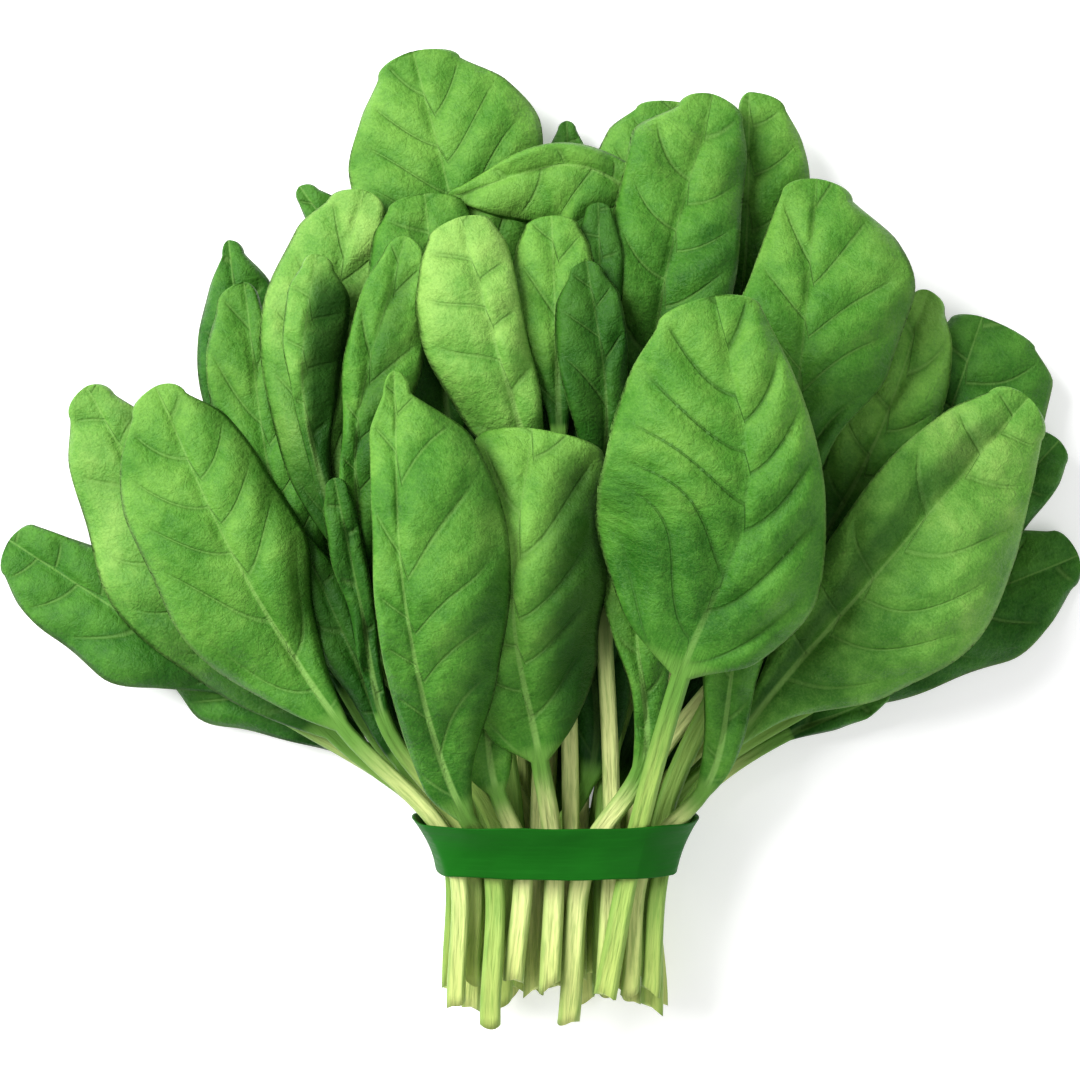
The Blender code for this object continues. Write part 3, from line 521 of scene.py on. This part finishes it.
def lay(net, top, cells, places, shares, gap, bend, rounds, most):
    """Raises a leaf, in a gentle curve, until it clears what lies below, and adds it to the height map."""
    xy = net["xy"].reshape(-1, 2)
    at = np.stack([FIELD[0] + cells[:, 1] * CELL, FIELD[2] + cells[:, 0] * CELL], 1)
    below = widened(top)[cells[:, 0], cells[:, 1]] + gap
    stiff = 1.0 - net["flat"]
    for _ in range(rounds):
        under = (net["middle"] - net["down"]).ravel()
        short = below - (under[places] * shares).sum(1)
        if short.max() < SETTLED:
            break
        worst = np.argsort(-short)[:most]
        worst = worst[short[worst] > 0]
        away = ((xy[:, None, :] - at[None, worst, :]) ** 2).sum(2)
        lift = np.clip((short[worst][None, :] - bend * away).max(1), 0, None).reshape(net["middle"].shape)
        lift = net["flat"] * lift + stiff * lift.max(1, keepdims=True)
        net["middle"] = net["middle"] + lift + SETTLED / 2 * (lift > 0)
    upper = ((net["middle"] + net["up"]).ravel()[places] * shares).sum(1)
    np.maximum.at(top, (cells[:, 0], cells[:, 1]), upper)


def empty_height_map(gap):
    """The surface that the bunch lies on, raised in the neck to the band's inner wall."""
    left, right, near, far = FIELD
    x = left + CELL * np.arange(int((right - left) / CELL) + 1)
    y = near + CELL * np.arange(int((far - near) / CELL) + 1)
    top = np.zeros((len(y), len(x)))
    neck = np.abs(y - BAND_AT) <= BAND_HALF_LENGTH + 2 * CELL
    top[neck] = neck_floor(x)[None, :] - gap
    top[~neck] = -gap + 0.05
    return top


def between(values, index):
    """Rows of values at fractional indices, on a smooth curve through them."""
    count = len(values)
    first = np.clip(np.floor(index).astype(int), 0, count - 2)
    t = (index - first)[:, None]
    before, after = np.clip(first - 1, 0, count - 1), np.clip(first + 2, 0, count - 1)
    p0, p1, p2, p3 = values[before], values[first], values[first + 1], values[after]
    return 0.5 * (2 * p1 + (p2 - p0) * t + (2 * p0 - 5 * p1 + 4 * p2 - p3) * t**2
                  + (3 * p1 - p0 - 3 * p2 + p3) * t**3)


def lift_between(coarse_lift, times, fine, across):
    """The coarse leaf's lift, carried over smoothly to the fine sections."""
    rows = between(coarse_lift, np.interp(fine, times, np.arange(len(times))))
    v = np.abs(across)
    weights = np.stack([(1 - v) * (1 - 2 * v), 4 * v * (1 - v), v * (2 * v - 1)], 1)
    left, right = rows[:, [2, 1, 0]] @ weights.T, rows[:, [2, 3, 4]] @ weights.T
    return np.where(across[None, :] < 0, left, right)


def side_vein_phase(net, shift):
    """Grows by one from each side vein to the next. The veins climb towards the tip as they run out."""
    out = net["out"]
    along = (net["length"] - net["length"][np.argmax(net["s"] > 0)])[:, None]
    wander = 0.24 * np.sin(along / 11.0 + shift * 3.0) + 0.14 * np.sin(np.abs(out) / 5.0 + shift * 7.0)
    climb = along - SIDE_VEIN_RISE * np.abs(out) - SIDE_VEIN_ARCH * out**2
    return climb / SIDE_VEIN_SPACING + wander + shift + 0.45 * (out > 0)


def dress(net, across, spec, draw):
    """Adds what the coarse leaf leaves out: a sunken midrib and side veins, puckers between them, and
    gentle waves over the whole blade."""
    out, flat, s = net["out"], net["flat"], net["s"][:, None]
    shift = draw.uniform(0, 1)
    along = net["length"][:, None]
    phase = side_vein_phase(net, shift)
    away = np.abs(phase - np.round(phase)) * SIDE_VEIN_SPACING * 0.8
    v = np.abs(across)[None, :]
    fade = smooth((1.0 - v) / 0.3) * smooth((1.0 - s) / 0.12) * smooth(v / 0.12)
    veiny, _ = VEIN_LOOKS.get(spec["name"], USUAL_VEINS)
    valley = -SIDE_VEIN_DEPTH * veiny * np.exp(-((away / SIDE_VEIN_WIDTH) ** 2)) * fade
    puff = PUCKER * veiny * (1.0 - np.exp(-((away / PUCKER_REACH) ** 2))) * fade
    groove_width = MIDRIB_GROOVE_WIDTH * (1.2 - 0.6 * s)
    groove = -MIDRIB_GROOVE * (1.0 - 0.7 * s) * np.exp(-((out / groove_width) ** 2))
    waves = np.zeros_like(out)
    for _ in range(WAVES):
        angle, size = draw.uniform(0, math.tau), draw.uniform(*WAVE_LENGTHS)
        turn = (math.cos(angle) * out + math.sin(angle) * along) / size * math.tau
        turn = turn + draw.uniform(0, math.tau)
        waves += np.sin(turn) * size / WAVE_LENGTHS[1] * UNDULATION * 0.5
    edge = draw.uniform(0, math.tau)
    frill = FRILL * np.sin(along / draw.uniform(*FRILL_LENGTHS) + edge + 2.0 * np.sign(out)) * v**6
    curl = -CURL * smooth((v - 0.8) / 0.2)
    small = min(1.0, broadest(spec) / WAVY_HALF_WIDTH)
    net["middle"] = net["middle"] + flat * (valley + puff + groove + small * waves * (0.3 + 0.7 * v)
                                            + small * frill * spec["wave"] + small * curl)
    net["phase"] = phase
    return net


def fine_leaf(spec, layer, chance, coarse_lift, times, draw, top):
    """One leaf's fine sections, laid on those below."""
    knots = knots_of(spec, layer, chance)
    hidden = spec["name"].startswith("under_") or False
    step = HIDDEN_STEP if hidden else FINE_STEP
    columns = 2 * int(np.clip(round(broadest(spec) / step), FEWEST_COLUMNS, MOST_COLUMNS)) + 1
    across = np.linspace(-1.0, 1.0, columns)
    angles = np.pi / 2 * (1.0 - across)
    fine = fine_times(knots, step)
    net = net_of(spec, knots, chance, fine, across, angles, FINE_BLADE_THICK, FINE_NARROW_TIP)
    net["middle"] = net["middle"] + lift_between(coarse_lift, times, fine, across)
    slant, teeth = draw.uniform(-CUT_SLANT, CUT_SLANT), draw.uniform(0, math.tau)
    ragged = slant * net["out"] + CUT_TEETH * np.sin(3.0 * across + teeth)[None, :]
    net["xy"][:, :, 1] += ragged * (1.0 - smooth(fine / CUT_FADE))[:, None]
    pinch = 1.0 - draw.uniform(0.0, CUT_PINCH) * (1.0 - smooth(fine / CUT_FADE))[:, None]
    net["round_up"] = net["round_up"] * pinch
    net["middle"] = net["middle"] - (1.0 - pinch) * STALK_RADIUS_CUT
    net = with_solid(dress(net, across, spec, draw), across)
    net["across"] = across
    places, shares = corner_samples(len(fine), columns, SAMPLES)
    at = (net["xy"].reshape(-1, 2)[places] * shares[:, :, None]).sum(1)
    cells = np.stack([np.round((at[:, 1] - FIELD[2]) / CELL), np.round((at[:, 0] - FIELD[0]) / CELL)], 1)
    cells = np.clip(cells.astype(int), 0, np.array(top.shape) - 1)
    lay(net, top, cells, places, shares, FINE_GAP, FINE_BEND, FINE_ROUNDS, MOST_SHORT)
    return net


def lay_bunch():
    """The fine sections of every leaf, from the lowest up."""
    draw, extra = random.Random(CHANCE_SEED), random.Random(DETAIL_SEED)
    coarse_top, fine_top = empty_height_map(LEAF_GAP), empty_height_map(FINE_GAP)
    nets = []
    for layer, leaves in enumerate(LAYERS):
        for spec in leaves:
            chance = chances_of(spec, draw)
            knots = knots_of(spec, layer, chance)
            times = coarse_times(spec, knots)
            net = net_of(spec, knots, chance, times, COARSE_ACROSS, COARSE_ANGLES, BLADE_THICK, NARROW_TIP)
            net = with_solid(net, COARSE_ACROSS)
            before = net["middle"]
            cells, places, shares = cells_under(net["xy"].reshape(-1, 2), triangle_places(len(times), 5))
            lay(net, coarse_top, cells, places, shares, LEAF_GAP, BEND, LAY_ROUNDS, COARSE_MOST_SHORT)
            fine = fine_leaf(spec, layer, chance, net["middle"] - before, times, extra, fine_top)
            fine["spec"], fine["layer"] = spec, layer
            nets.append(fine)
    return nets


def new_mesh_object(name, vertices, faces, material):
    mesh = bpy.data.meshes.new(name)
    mesh.from_pydata((np.asarray(vertices) * MM).tolist(), [], faces)
    mesh.update()
    mesh.shade_smooth()
    mesh.materials.append(material)
    obj = bpy.data.objects.new(name, mesh)
    bpy.context.scene.collection.objects.link(obj)
    return obj


def add_attribute(obj, name, kind, values):
    attribute = obj.data.attributes.new(name, kind, "POINT")
    key = {"FLOAT": "value", "FLOAT_VECTOR": "vector"}[kind]
    attribute.data.foreach_set(key, np.ascontiguousarray(values, np.float32).ravel())


def leaf_object(net, material, tint):
    """The closed skin of one leaf: upper side, underside, and closed ends."""
    rows, columns = net["middle"].shape
    over = np.dstack([net["xy"], np.maximum(net["middle"] + net["up"], FINE_GAP + THINNEST)])
    under = np.dstack([net["xy"], np.maximum(net["middle"] - net["down"], FINE_GAP)])[:, 1:-1]
    ring = 2 * columns - 2
    rings = np.concatenate([over, under[:, ::-1]], axis=1)
    vertices = rings.reshape(-1, 3)
    faces = []
    for i in range(rows - 1):
        a, b = i * ring, (i + 1) * ring
        faces += [(a + k, a + (k + 1) % ring, b + (k + 1) % ring, b + k) for k in range(ring)]
    last = (rows - 1) * ring
    cut_centre, tip_centre = len(vertices), len(vertices) + 1
    first_ring, last_ring = rings[0], rings[-1]
    faces += [((k + 1) % ring, k, cut_centre) for k in range(ring)]
    faces += [(last + k, last + (k + 1) % ring, tip_centre) for k in range(ring)]
    vertices = np.concatenate([vertices, [first_ring.mean(0), last_ring.mean(0)]])
    obj = new_mesh_object("spinach_" + net["name"], vertices, faces, material)

    def around(values):
        """Values of the net's places, given to the ring's, with the two end points."""
        values = np.broadcast_to(values, (rows, columns))
        spread = np.concatenate([values, values[:, 1:-1][:, ::-1]], axis=1).ravel()
        return np.concatenate([spread, [values[0].mean(), values[-1].mean()]])

    along = net["length"][:, None]
    flat_place = np.stack([around(net["out"]) / 10, around(along) / 10,
                           np.full(len(vertices), tint * 40.0)], 1)
    add_attribute(obj, "flat_place", "FLOAT_VECTOR", flat_place)
    below = np.zeros((rows, ring))
    below[:, columns:] = 1.0
    # The second value is painted shade in the sunken veins and midrib
    _, vein_shade = VEIN_LOOKS.get(net["name"], USUAL_VEINS)
    looks = {
        "side_phase": around(net["phase"]),
        "across": around(np.abs(net["across"])[None, :]),
        "blade": around(net["flat"]),
        "way": around(net["times"][:, None]),
        "below": np.concatenate([below.ravel(), [0.0, 0.0]]),
        "tint": np.full(len(vertices), tint),
        # This attribute carries the painted shade: deep in the bunch, low behind the front leaves and in
        # stripes where leaves fold away
        "inside": around(painted_shade_of(net)),
        "vein_shade": np.full(len(vertices), vein_shade),
    }
    for name, values in looks.items():
        add_attribute(obj, name, "FLOAT", values)
    return obj


class Nodes:
    """Short ways to add shader nodes."""

    def __init__(self, material):
        material.use_nodes = True
        self.tree = material.node_tree
        self.shader = self.tree.nodes["Principled BSDF"]

    def add(self, kind, **settings):
        node = self.tree.nodes.new(kind)
        for key, value in settings.items():
            setattr(node, key, value)
        return node

    def link(self, value, socket):
        if hasattr(value, "is_output"):
            self.tree.links.new(value, socket)
        else:
            socket.default_value = value

    def set(self, name, value):
        self.link(value, self.shader.inputs[name])

    def math(self, operation, first, second=0.0, third=0.0):
        node = self.add("ShaderNodeMath", operation=operation)
        for value, socket in zip((first, second, third), node.inputs):
            self.link(value, socket)
        return node.outputs[0]

    def times(self, first, second):
        return self.math("MULTIPLY", first, second)

    def ramp(self, value, low, high, start=0.0, end=1.0):
        node = self.add("ShaderNodeMapRange", interpolation_type="SMOOTHSTEP")
        self.link(value, node.inputs[0])
        for socket, number in zip(node.inputs[1:5], (low, high, start, end)):
            self.link(number, socket)
        return node.outputs[0]

    def mix(self, share, first, second, blend="MIX"):
        node = self.add("ShaderNodeMix", data_type="RGBA", blend_type=blend)
        self.link(share, node.inputs[0])
        self.link(first if hasattr(first, "is_output") else (*first, 1.0), node.inputs[6])
        self.link(second if hasattr(second, "is_output") else (*second, 1.0), node.inputs[7])
        return node.outputs[2]

    def attribute(self, name, output="Fac"):
        return self.add("ShaderNodeAttribute", attribute_name=name).outputs[output]

    def noise(self, vector, scale, detail=3.0, roughness=0.55):
        node = self.add("ShaderNodeTexNoise")
        self.link(vector, node.inputs["Vector"])
        node.inputs["Scale"].default_value = scale
        node.inputs["Detail"].default_value = detail
        node.inputs["Roughness"].default_value = roughness
        return node.outputs[0]

    def cells(self, vector, scale):
        node = self.add("ShaderNodeTexVoronoi", feature="DISTANCE_TO_EDGE")
        self.link(vector, node.inputs["Vector"])
        node.inputs["Scale"].default_value = scale
        return node.outputs[0]

    def stretched(self, vector, scale):
        node = self.add("ShaderNodeVectorMath", operation="MULTIPLY")
        self.link(vector, node.inputs[0])
        node.inputs[1].default_value = scale
        return node.outputs[0]

    def bump(self, height, strength, distance):
        node = self.add("ShaderNodeBump")
        node.inputs["Strength"].default_value = strength
        node.inputs["Distance"].default_value = distance
        self.link(height, node.inputs["Height"])
        self.set("Normal", node.outputs[0])


# Colours, as linear light
LEAF_COLOURS = {
    "dark": dict(deep=(0.007, 0.056, 0.003), body=(0.022, 0.112, 0.009), bright=(0.068, 0.215, 0.024)),
    "mid": dict(deep=(0.016, 0.092, 0.006), body=(0.054, 0.190, 0.018), bright=(0.145, 0.330, 0.048)),
    "light": dict(deep=(0.030, 0.130, 0.011), body=(0.096, 0.262, 0.034), bright=(0.235, 0.425, 0.086)),
}
VEIN_PALE = (0.210, 0.390, 0.090)
# Painted shade in sunken veins and midrib
VEIN_SHADE_GREEN = (0.008, 0.052, 0.003)
UNDERSIDE = (0.085, 0.220, 0.045)
# Painted shade, laid over a leaf by its inside attribute
PAINTED_SHADE_GREEN = (0.004, 0.036, 0.002)
STALK_GREEN = (0.100, 0.235, 0.036)
STALK_PALE = (0.360, 0.500, 0.115)
STALK_CREAM = (0.640, 0.690, 0.270)
STALK_END = (0.480, 0.560, 0.150)
BAND_GREENS = ((0.0044, 0.086, 0.0036), (0.0054, 0.102, 0.0044))
BAND_GRAIN = (0.0075, 0.126, 0.0062)

# Patterns of the leaf and the band, as noise scales for places in centimetres
PATCHES, MOTTLE, GRAIN, NET_BEND = 0.6, 2.6, 16.0, 2.2
VEIN_NET, FINE_VEIN_NET = 2.4, 7.0
STREAKS, STREAK_STRETCH = 1.6, (9.0, 0.7, 1.0)
BAND_THREADS, BAND_STRETCH, BAND_BLOTCHES = 1.5, (0.5, 9.0, 1.0), 0.8

# How much of its own colour each of these lays over the green; the hollows' share lays painted shade in the
# dips along the side veins, and the dark veins' share painted shade in sunken veins
NET_SHARE, FINE_NET_SHARE, HOLLOW_SHADE_SHARE, MARGIN_SHARE, UNDERSIDE_SHARE = 0.05, 0.04, 0.34, 0.40, 0.55
SIDE_VEIN_SHARE, VEIN_SHADE_SHARE = 0.22, 0.30


def mottled_green(n, colours, place, way, tint, mottle, grain):
    """The blade's green in patches and grain, darker low on the blade as painted shade and a little livelier
    towards the tip.
    """
    patches = n.noise(place, PATCHES, 2.0)
    lively = n.math("MULTIPLY_ADD", patches, 0.9, n.times(tint, 0.25))
    # Painted shade: the lower blade, which the leaves above shade, is darker than the part towards the tip
    lively = n.math("ADD", lively, n.times(n.ramp(way, 2.2, 3.9), 0.30))
    lively = n.math("MULTIPLY_ADD", mottle, 0.55, lively)
    green = n.mix(n.ramp(lively, 0.62, 1.02), colours["deep"], colours["body"])
    green = n.mix(n.ramp(lively, 0.90, 1.42), green, colours["bright"])
    green = n.mix(n.ramp(grain, 0.42, 0.66, 0.0, 0.22), green, colours["deep"])
    return n.mix(n.ramp(grain, 0.34, 0.56, 0.12, 0.0), green, colours["bright"])


def vein_nets(n, place):
    """The net of small veins and the finer one inside it, both with bent lines."""
    bend = n.add("ShaderNodeTexNoise")
    n.link(place, bend.inputs["Vector"])
    bend.inputs["Scale"].default_value = NET_BEND
    warp = n.add("ShaderNodeVectorMath", operation="ADD")
    n.link(place, warp.inputs[0])
    n.link(n.stretched(bend.outputs["Color"], (0.22, 0.22, 0.0)), warp.inputs[1])
    return (n.ramp(n.cells(warp.outputs[0], VEIN_NET), 0.0, 0.07, 1.0, 0.0),
            n.ramp(n.cells(warp.outputs[0], FINE_VEIN_NET), 0.0, 0.12, 1.0, 0.0))


def side_veins(n, across):
    """The side veins' lines and the dips along them, whose mask lays painted shade, both ending short of the
    margin.
    """
    phase = n.attribute("side_phase")
    near = n.math("ABSOLUTE", n.math("SUBTRACT", phase, n.math("ROUND", phase)))
    line = n.ramp(near, 0.008, 0.050, 1.0, 0.0)
    dip_shade = n.ramp(near, 0.02, 0.13, 1.0, 0.0)
    return (n.times(line, n.ramp(across, 0.55, 0.9, 1.0, 0.0)),
            n.times(dip_shade, n.ramp(across, 0.5, 0.95, 1.0, 0.0)))


def veined_green(n, green, deep, across, way, out, nets, side):
    """The green with painted shade in the dips along the side veins, its veins, which carry painted shade on
    a few leaves, its midrib and its pale margin.
    """
    vein_shade = n.attribute("vein_shade")
    coarse, fine = n.times(nets[0], NET_SHARE), n.times(nets[1], FINE_NET_SHARE)
    # Painted shade in the dips along the side veins
    green = n.mix(n.times(side[1], HOLLOW_SHADE_SHARE), green, deep)
    green = n.mix(n.math("MAXIMUM", coarse, fine), green, VEIN_PALE)
    # On a few leaves the veins and midrib take painted shade instead of a pale line
    vein_share = n.math("MULTIPLY_ADD", vein_shade, VEIN_SHADE_SHARE, SIDE_VEIN_SHARE)
    vein_colour = n.mix(vein_shade, VEIN_PALE, VEIN_SHADE_GREEN)
    green = n.mix(n.times(side[0], vein_share), green, vein_colour)
    rib_width = n.ramp(way, 2.0, 3.4, 0.11, 0.03)
    midrib = n.ramp(n.math("DIVIDE", out, rib_width), 0.45, 1.1, 1.0, 0.0)
    rib_colour = n.mix(n.times(vein_shade, n.ramp(way, 2.0, 2.6)), VEIN_PALE, VEIN_SHADE_GREEN)
    rib_share = n.math("MULTIPLY_ADD", vein_shade, -0.25, n.ramp(way, 2.0, 3.4, 0.70, 0.30))
    green = n.mix(n.times(midrib, rib_share), green, rib_colour)
    margin = n.ramp(across, 0.955, 1.0)
    return n.mix(n.times(margin, MARGIN_SHARE), green, VEIN_PALE)


def stalk_colour(n, way, tint, out, streaks):
    """Cream to green streaks: greener towards the blade, and each leaf's stalk paler or greener."""
    stalk = n.mix(n.ramp(tint, 0.40, 0.80), STALK_PALE, STALK_CREAM)
    stalk = n.mix(n.ramp(way, 1.3, 1.95), stalk, STALK_GREEN)
    stalk = n.mix(n.ramp(way, 0.0, 0.8, 0.65, 0.0), stalk, STALK_END)
    greener = n.times(n.ramp(tint, 0.10, 0.50, 0.70, 0.0), n.ramp(way, 0.0, 0.9, 0.3, 1.0))
    stalk = n.mix(greener, stalk, STALK_GREEN)
    stalk = n.mix(n.ramp(streaks, 0.42, 0.70, 0.0, 0.45), stalk, STALK_GREEN)
    return n.mix(n.ramp(out, 0.10, 0.24, 0.0, 0.5), stalk, STALK_GREEN)


def leaf_material(tone):
    """Fresh spinach: mottled green with a fine net of veins, over a stalk that pales towards its cut."""
    colours = LEAF_COLOURS[tone]
    material = bpy.data.materials.new("spinach_" + tone)
    n = Nodes(material)
    place = n.attribute("flat_place", "Vector")
    across, blade, way, below, tint = map(n.attribute, ("across", "blade", "way", "below", "tint"))
    split = n.add("ShaderNodeSeparateXYZ")
    n.link(place, split.inputs[0])
    out = n.math("ABSOLUTE", split.outputs[0])
    mottle = n.noise(place, MOTTLE, 4.0, 0.65)
    grain = n.noise(place, GRAIN, 3.0, 0.65)
    streaks = n.noise(n.stretched(place, STREAK_STRETCH), STREAKS, 3.0)
    nets = vein_nets(n, place)
    side = side_veins(n, across)

    green = mottled_green(n, colours, place, way, tint, mottle, grain)
    green = veined_green(n, green, colours["deep"], across, way, out, nets, side)
    green = n.mix(n.times(below, UNDERSIDE_SHARE), green, UNDERSIDE)
    # Painted shade: darker green deep inside the bunch, low on leaves behind the front ones and in stripes
    # where leaves fold away
    green = n.mix(n.attribute("inside"), green, PAINTED_SHADE_GREEN)
    colour = n.mix(n.ramp(blade, 0.0, 0.16), stalk_colour(n, way, tint, out, streaks), green)
    n.set("Base Color", colour)

    rough = n.ramp(mottle, 0.3, 0.7, 0.40, 0.56)
    n.set("Roughness", n.math("MULTIPLY_ADD", below, 0.15, rough))
    n.set("IOR", 1.42)
    n.set("Specular IOR Level", 0.14)

    relief = n.math("MULTIPLY_ADD", nets[0], -0.08, n.times(nets[1], -0.04))
    for pattern, height in ((side[0], -0.5), (mottle, 2.0), (grain, 0.35)):
        relief = n.math("MULTIPLY_ADD", pattern, height, relief)
    relief = n.times(relief, n.ramp(blade, 0.05, 0.6))
    ridges = n.times(streaks, n.ramp(blade, 0.0, 0.6, 0.8, 0.0))
    n.bump(n.math("ADD", relief, ridges), 0.8, 0.0007)
    return material


def band_material():
    """Plain dark green elastic: matt, with a faint grain along it."""
    material = bpy.data.materials.new("band_green")
    n = Nodes(material)
    place = n.attribute("band_place", "Vector")
    threads = n.noise(n.stretched(place, BAND_STRETCH), BAND_THREADS, 3.0)
    blotches = n.noise(place, BAND_BLOTCHES, 2.0)
    colour = n.mix(n.ramp(blotches, 0.3, 0.7), *BAND_GREENS)
    colour = n.mix(n.ramp(threads, 0.45, 0.75, 0.0, 0.35), colour, BAND_GRAIN)
    n.set("Base Color", colour)
    n.set("Roughness", n.ramp(threads, 0.3, 0.7, 0.50, 0.64))
    n.set("Specular IOR Level", 0.08)
    n.bump(threads, 0.35, 0.0002)
    return material


def reach_at(nets, row, directions):
    """How far the stalks reach in each direction across the neck, where they cross the band's row."""
    points = []
    for net in nets:
        over = np.dstack([net["xy"], net["middle"] + net["up"]])
        under = np.dstack([net["xy"], net["middle"] - net["down"]])
        for side in (over, under):
            side = side + BAND_LEAN * side[:, :, 2:] * (0.0, 1.0, 0.0)
            a, b = side[:-1].reshape(-1, 3), side[1:].reshape(-1, 3)
            crossing = (a[:, 1] - row) * (b[:, 1] - row) < 0
            share = (row - a[crossing, 1]) / (b[crossing, 1] - a[crossing, 1])
            points.append((a[crossing] + share[:, None] * (b[crossing] - a[crossing]))[:, [0, 2]])
    points = np.concatenate(points)
    rest = BAND_WALL + BAND_CLEAR
    points[:, 1] = np.maximum(points[:, 1], rest)
    points = np.concatenate([points, [(-BAND_FLAT_HALF, rest), (BAND_FLAT_HALF, rest)]])
    reach = (points @ directions.T).max(0)
    spread = np.arange(-BAND_SOFT, BAND_SOFT + 1)
    share = np.cos(spread / (BAND_SOFT + 1) * np.pi / 2) ** 2
    softer = sum(np.roll(reach, k) * part for k, part in zip(spread, share / share.sum()))
    softer = softer + (reach - softer).max()
    return reach + smooth((directions[:, 1] + 0.8) / 0.6) * (softer - reach)


def band_object(nets, material):
    """The band: a soft strip with rounded edges, stretched round the stalks."""
    turns = math.tau * np.arange(BAND_SIDES) / BAND_SIDES - math.pi / 2
    directions = np.stack([np.cos(turns), np.sin(turns)], 1)
    ahead = np.roll(directions, -1, axis=0)
    turned = directions[:, 0] * ahead[:, 1] - directions[:, 1] * ahead[:, 0]
    rows = np.linspace(-BAND_HALF_LENGTH, BAND_HALF_LENGTH, BAND_ROUND_ROWS)
    reaches = np.array([reach_at(nets, BAND_AT + row, directions) + BAND_CLEAR * BAND_SNUG for row in rows])

    def ring(reach):
        following = np.roll(reach, -1)
        x = (reach * ahead[:, 1] - following * directions[:, 1]) / turned
        z = (following * directions[:, 0] - reach * ahead[:, 0]) / turned
        return np.stack([x, z], 1)

    straight = BAND_HALF_LENGTH - BAND_EDGE
    corner = [(BAND_EDGE * (1 - math.cos(a)), BAND_EDGE * math.sin(a)) for a in BAND_EDGE_TURNS]
    inner = [(0.0, y) for y in np.linspace(-straight, straight, BAND_ROUND_ROWS)]
    inner += [(o, straight + y) for o, y in corner]
    profile = inner + [(BAND_WALL - o, y) for o, y in reversed(inner)]
    profile += [(BAND_WALL - o, -straight - y) for o, y in corner]
    profile += [(o, -straight - y) for o, y in reversed(corner)]

    vertices, places = [], []
    for o, y in profile:
        index = (y + BAND_HALF_LENGTH) / (2 * BAND_HALF_LENGTH) * (len(rows) - 1)
        first = min(int(index), len(rows) - 2)
        reach = reaches[first] + (reaches[first + 1] - reaches[first]) * (index - first) + o
        points = ring(reach)
        around = np.concatenate([[0], np.cumsum(np.linalg.norm(np.diff(points, axis=0), axis=1))])
        swell = sum(height * np.sin(around / size + start) for height, size, start in BAND_SWELLS)
        lift = np.where(points[:, 1] < 0.5, 0.0, 1.0)
        for (x, z), along, more, free in zip(points, around, swell, lift):
            vertices.append((x, BAND_AT + y + more * free - BAND_LEAN * z, max(z, 0.0)))
            places.append((along / 10, y / 10, o / 10))
    faces = []
    count = len(profile)
    for p in range(count):
        a, b = p * BAND_SIDES, ((p + 1) % count) * BAND_SIDES
        for k in range(BAND_SIDES):
            after = (k + 1) % BAND_SIDES
            faces.append((a + k, b + k, b + after, a + after))
    obj = new_mesh_object("green_band", vertices, faces, material)
    add_attribute(obj, "band_place", "FLOAT_VECTOR", np.array(places))
    return obj


def floor_material():
    material = bpy.data.materials.new("pale_floor")
    n = Nodes(material)
    n.set("Base Color", (*FLOOR_WHITE, 1.0))
    n.set("Roughness", 0.9)
    n.set("Specular IOR Level", 0.1)
    n.set("Emission Color", (1.0, 1.0, 1.0, 1.0))
    n.set("Emission Strength", FLOOR_GLOW)
    return material


def add_floor():
    far = FLOOR_HALF
    corners = [(-far, -far, 0), (far, -far, 0), (far, far, 0), (-far, far, 0)]
    floor = new_mesh_object("floor", corners, [(0, 1, 2, 3)], floor_material())


def add_area_light(name, place, size, power):
    light = bpy.data.lights.new(name, "AREA")
    light.shape, light.size, light.energy = "DISK", size, power
    obj = bpy.data.objects.new(name, light)
    bpy.context.scene.collection.objects.link(obj)
    direction = np.array(LIGHTS_AIM) - np.array(place)
    yaw = math.atan2(-direction[0], direction[1])
    pitch = math.atan2(math.hypot(direction[0], direction[1]), -direction[2])
    obj.location = place
    obj.rotation_euler = (pitch, 0.0, yaw)


def add_lights():
    for light in LIGHTS:
        add_area_light(*light)
    world = bpy.data.worlds.new("studio")
    bpy.context.scene.world = world
    world.use_nodes = True
    background = world.node_tree.nodes["Background"]
    background.inputs["Color"].default_value = (1.0, 1.0, 1.0, 1.0)
    background.inputs["Strength"].default_value = ROOM_LIGHT


def add_camera():
    """Straight above the bunch, so that the photograph's scale holds at READ_AT."""
    camera = bpy.data.cameras.new("camera")
    camera.sensor_width = SENSOR_WIDTH
    camera.lens = (VIEW_HEIGHT - READ_AT) / (MM_PER_PIXEL * PHOTO_PIXELS) * SENSOR_WIDTH
    camera.clip_start = 0.05
    obj = bpy.data.objects.new("camera", camera)
    bpy.context.scene.collection.objects.link(obj)
    obj.location = np.array([*VIEW_OVER, VIEW_HEIGHT]) * MM
    bpy.context.scene.camera = obj
    bpy.context.scene.view_settings.view_transform = "Standard"


add_camera()
add_lights()
add_floor()
materials = {tone: leaf_material(tone) for tone in LEAF_COLOURS}
nets = lay_bunch()
tints = random.Random(TINT_SEED)
for net in nets:
    tone = net["spec"]["tone"]
    piece = leaf_object(net, materials[tone], tints.uniform(0, 1))
    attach(piece, "root")
    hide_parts("leaf_" + net["name"])
band = band_object(nets, band_material())
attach(band, "root")
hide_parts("band")
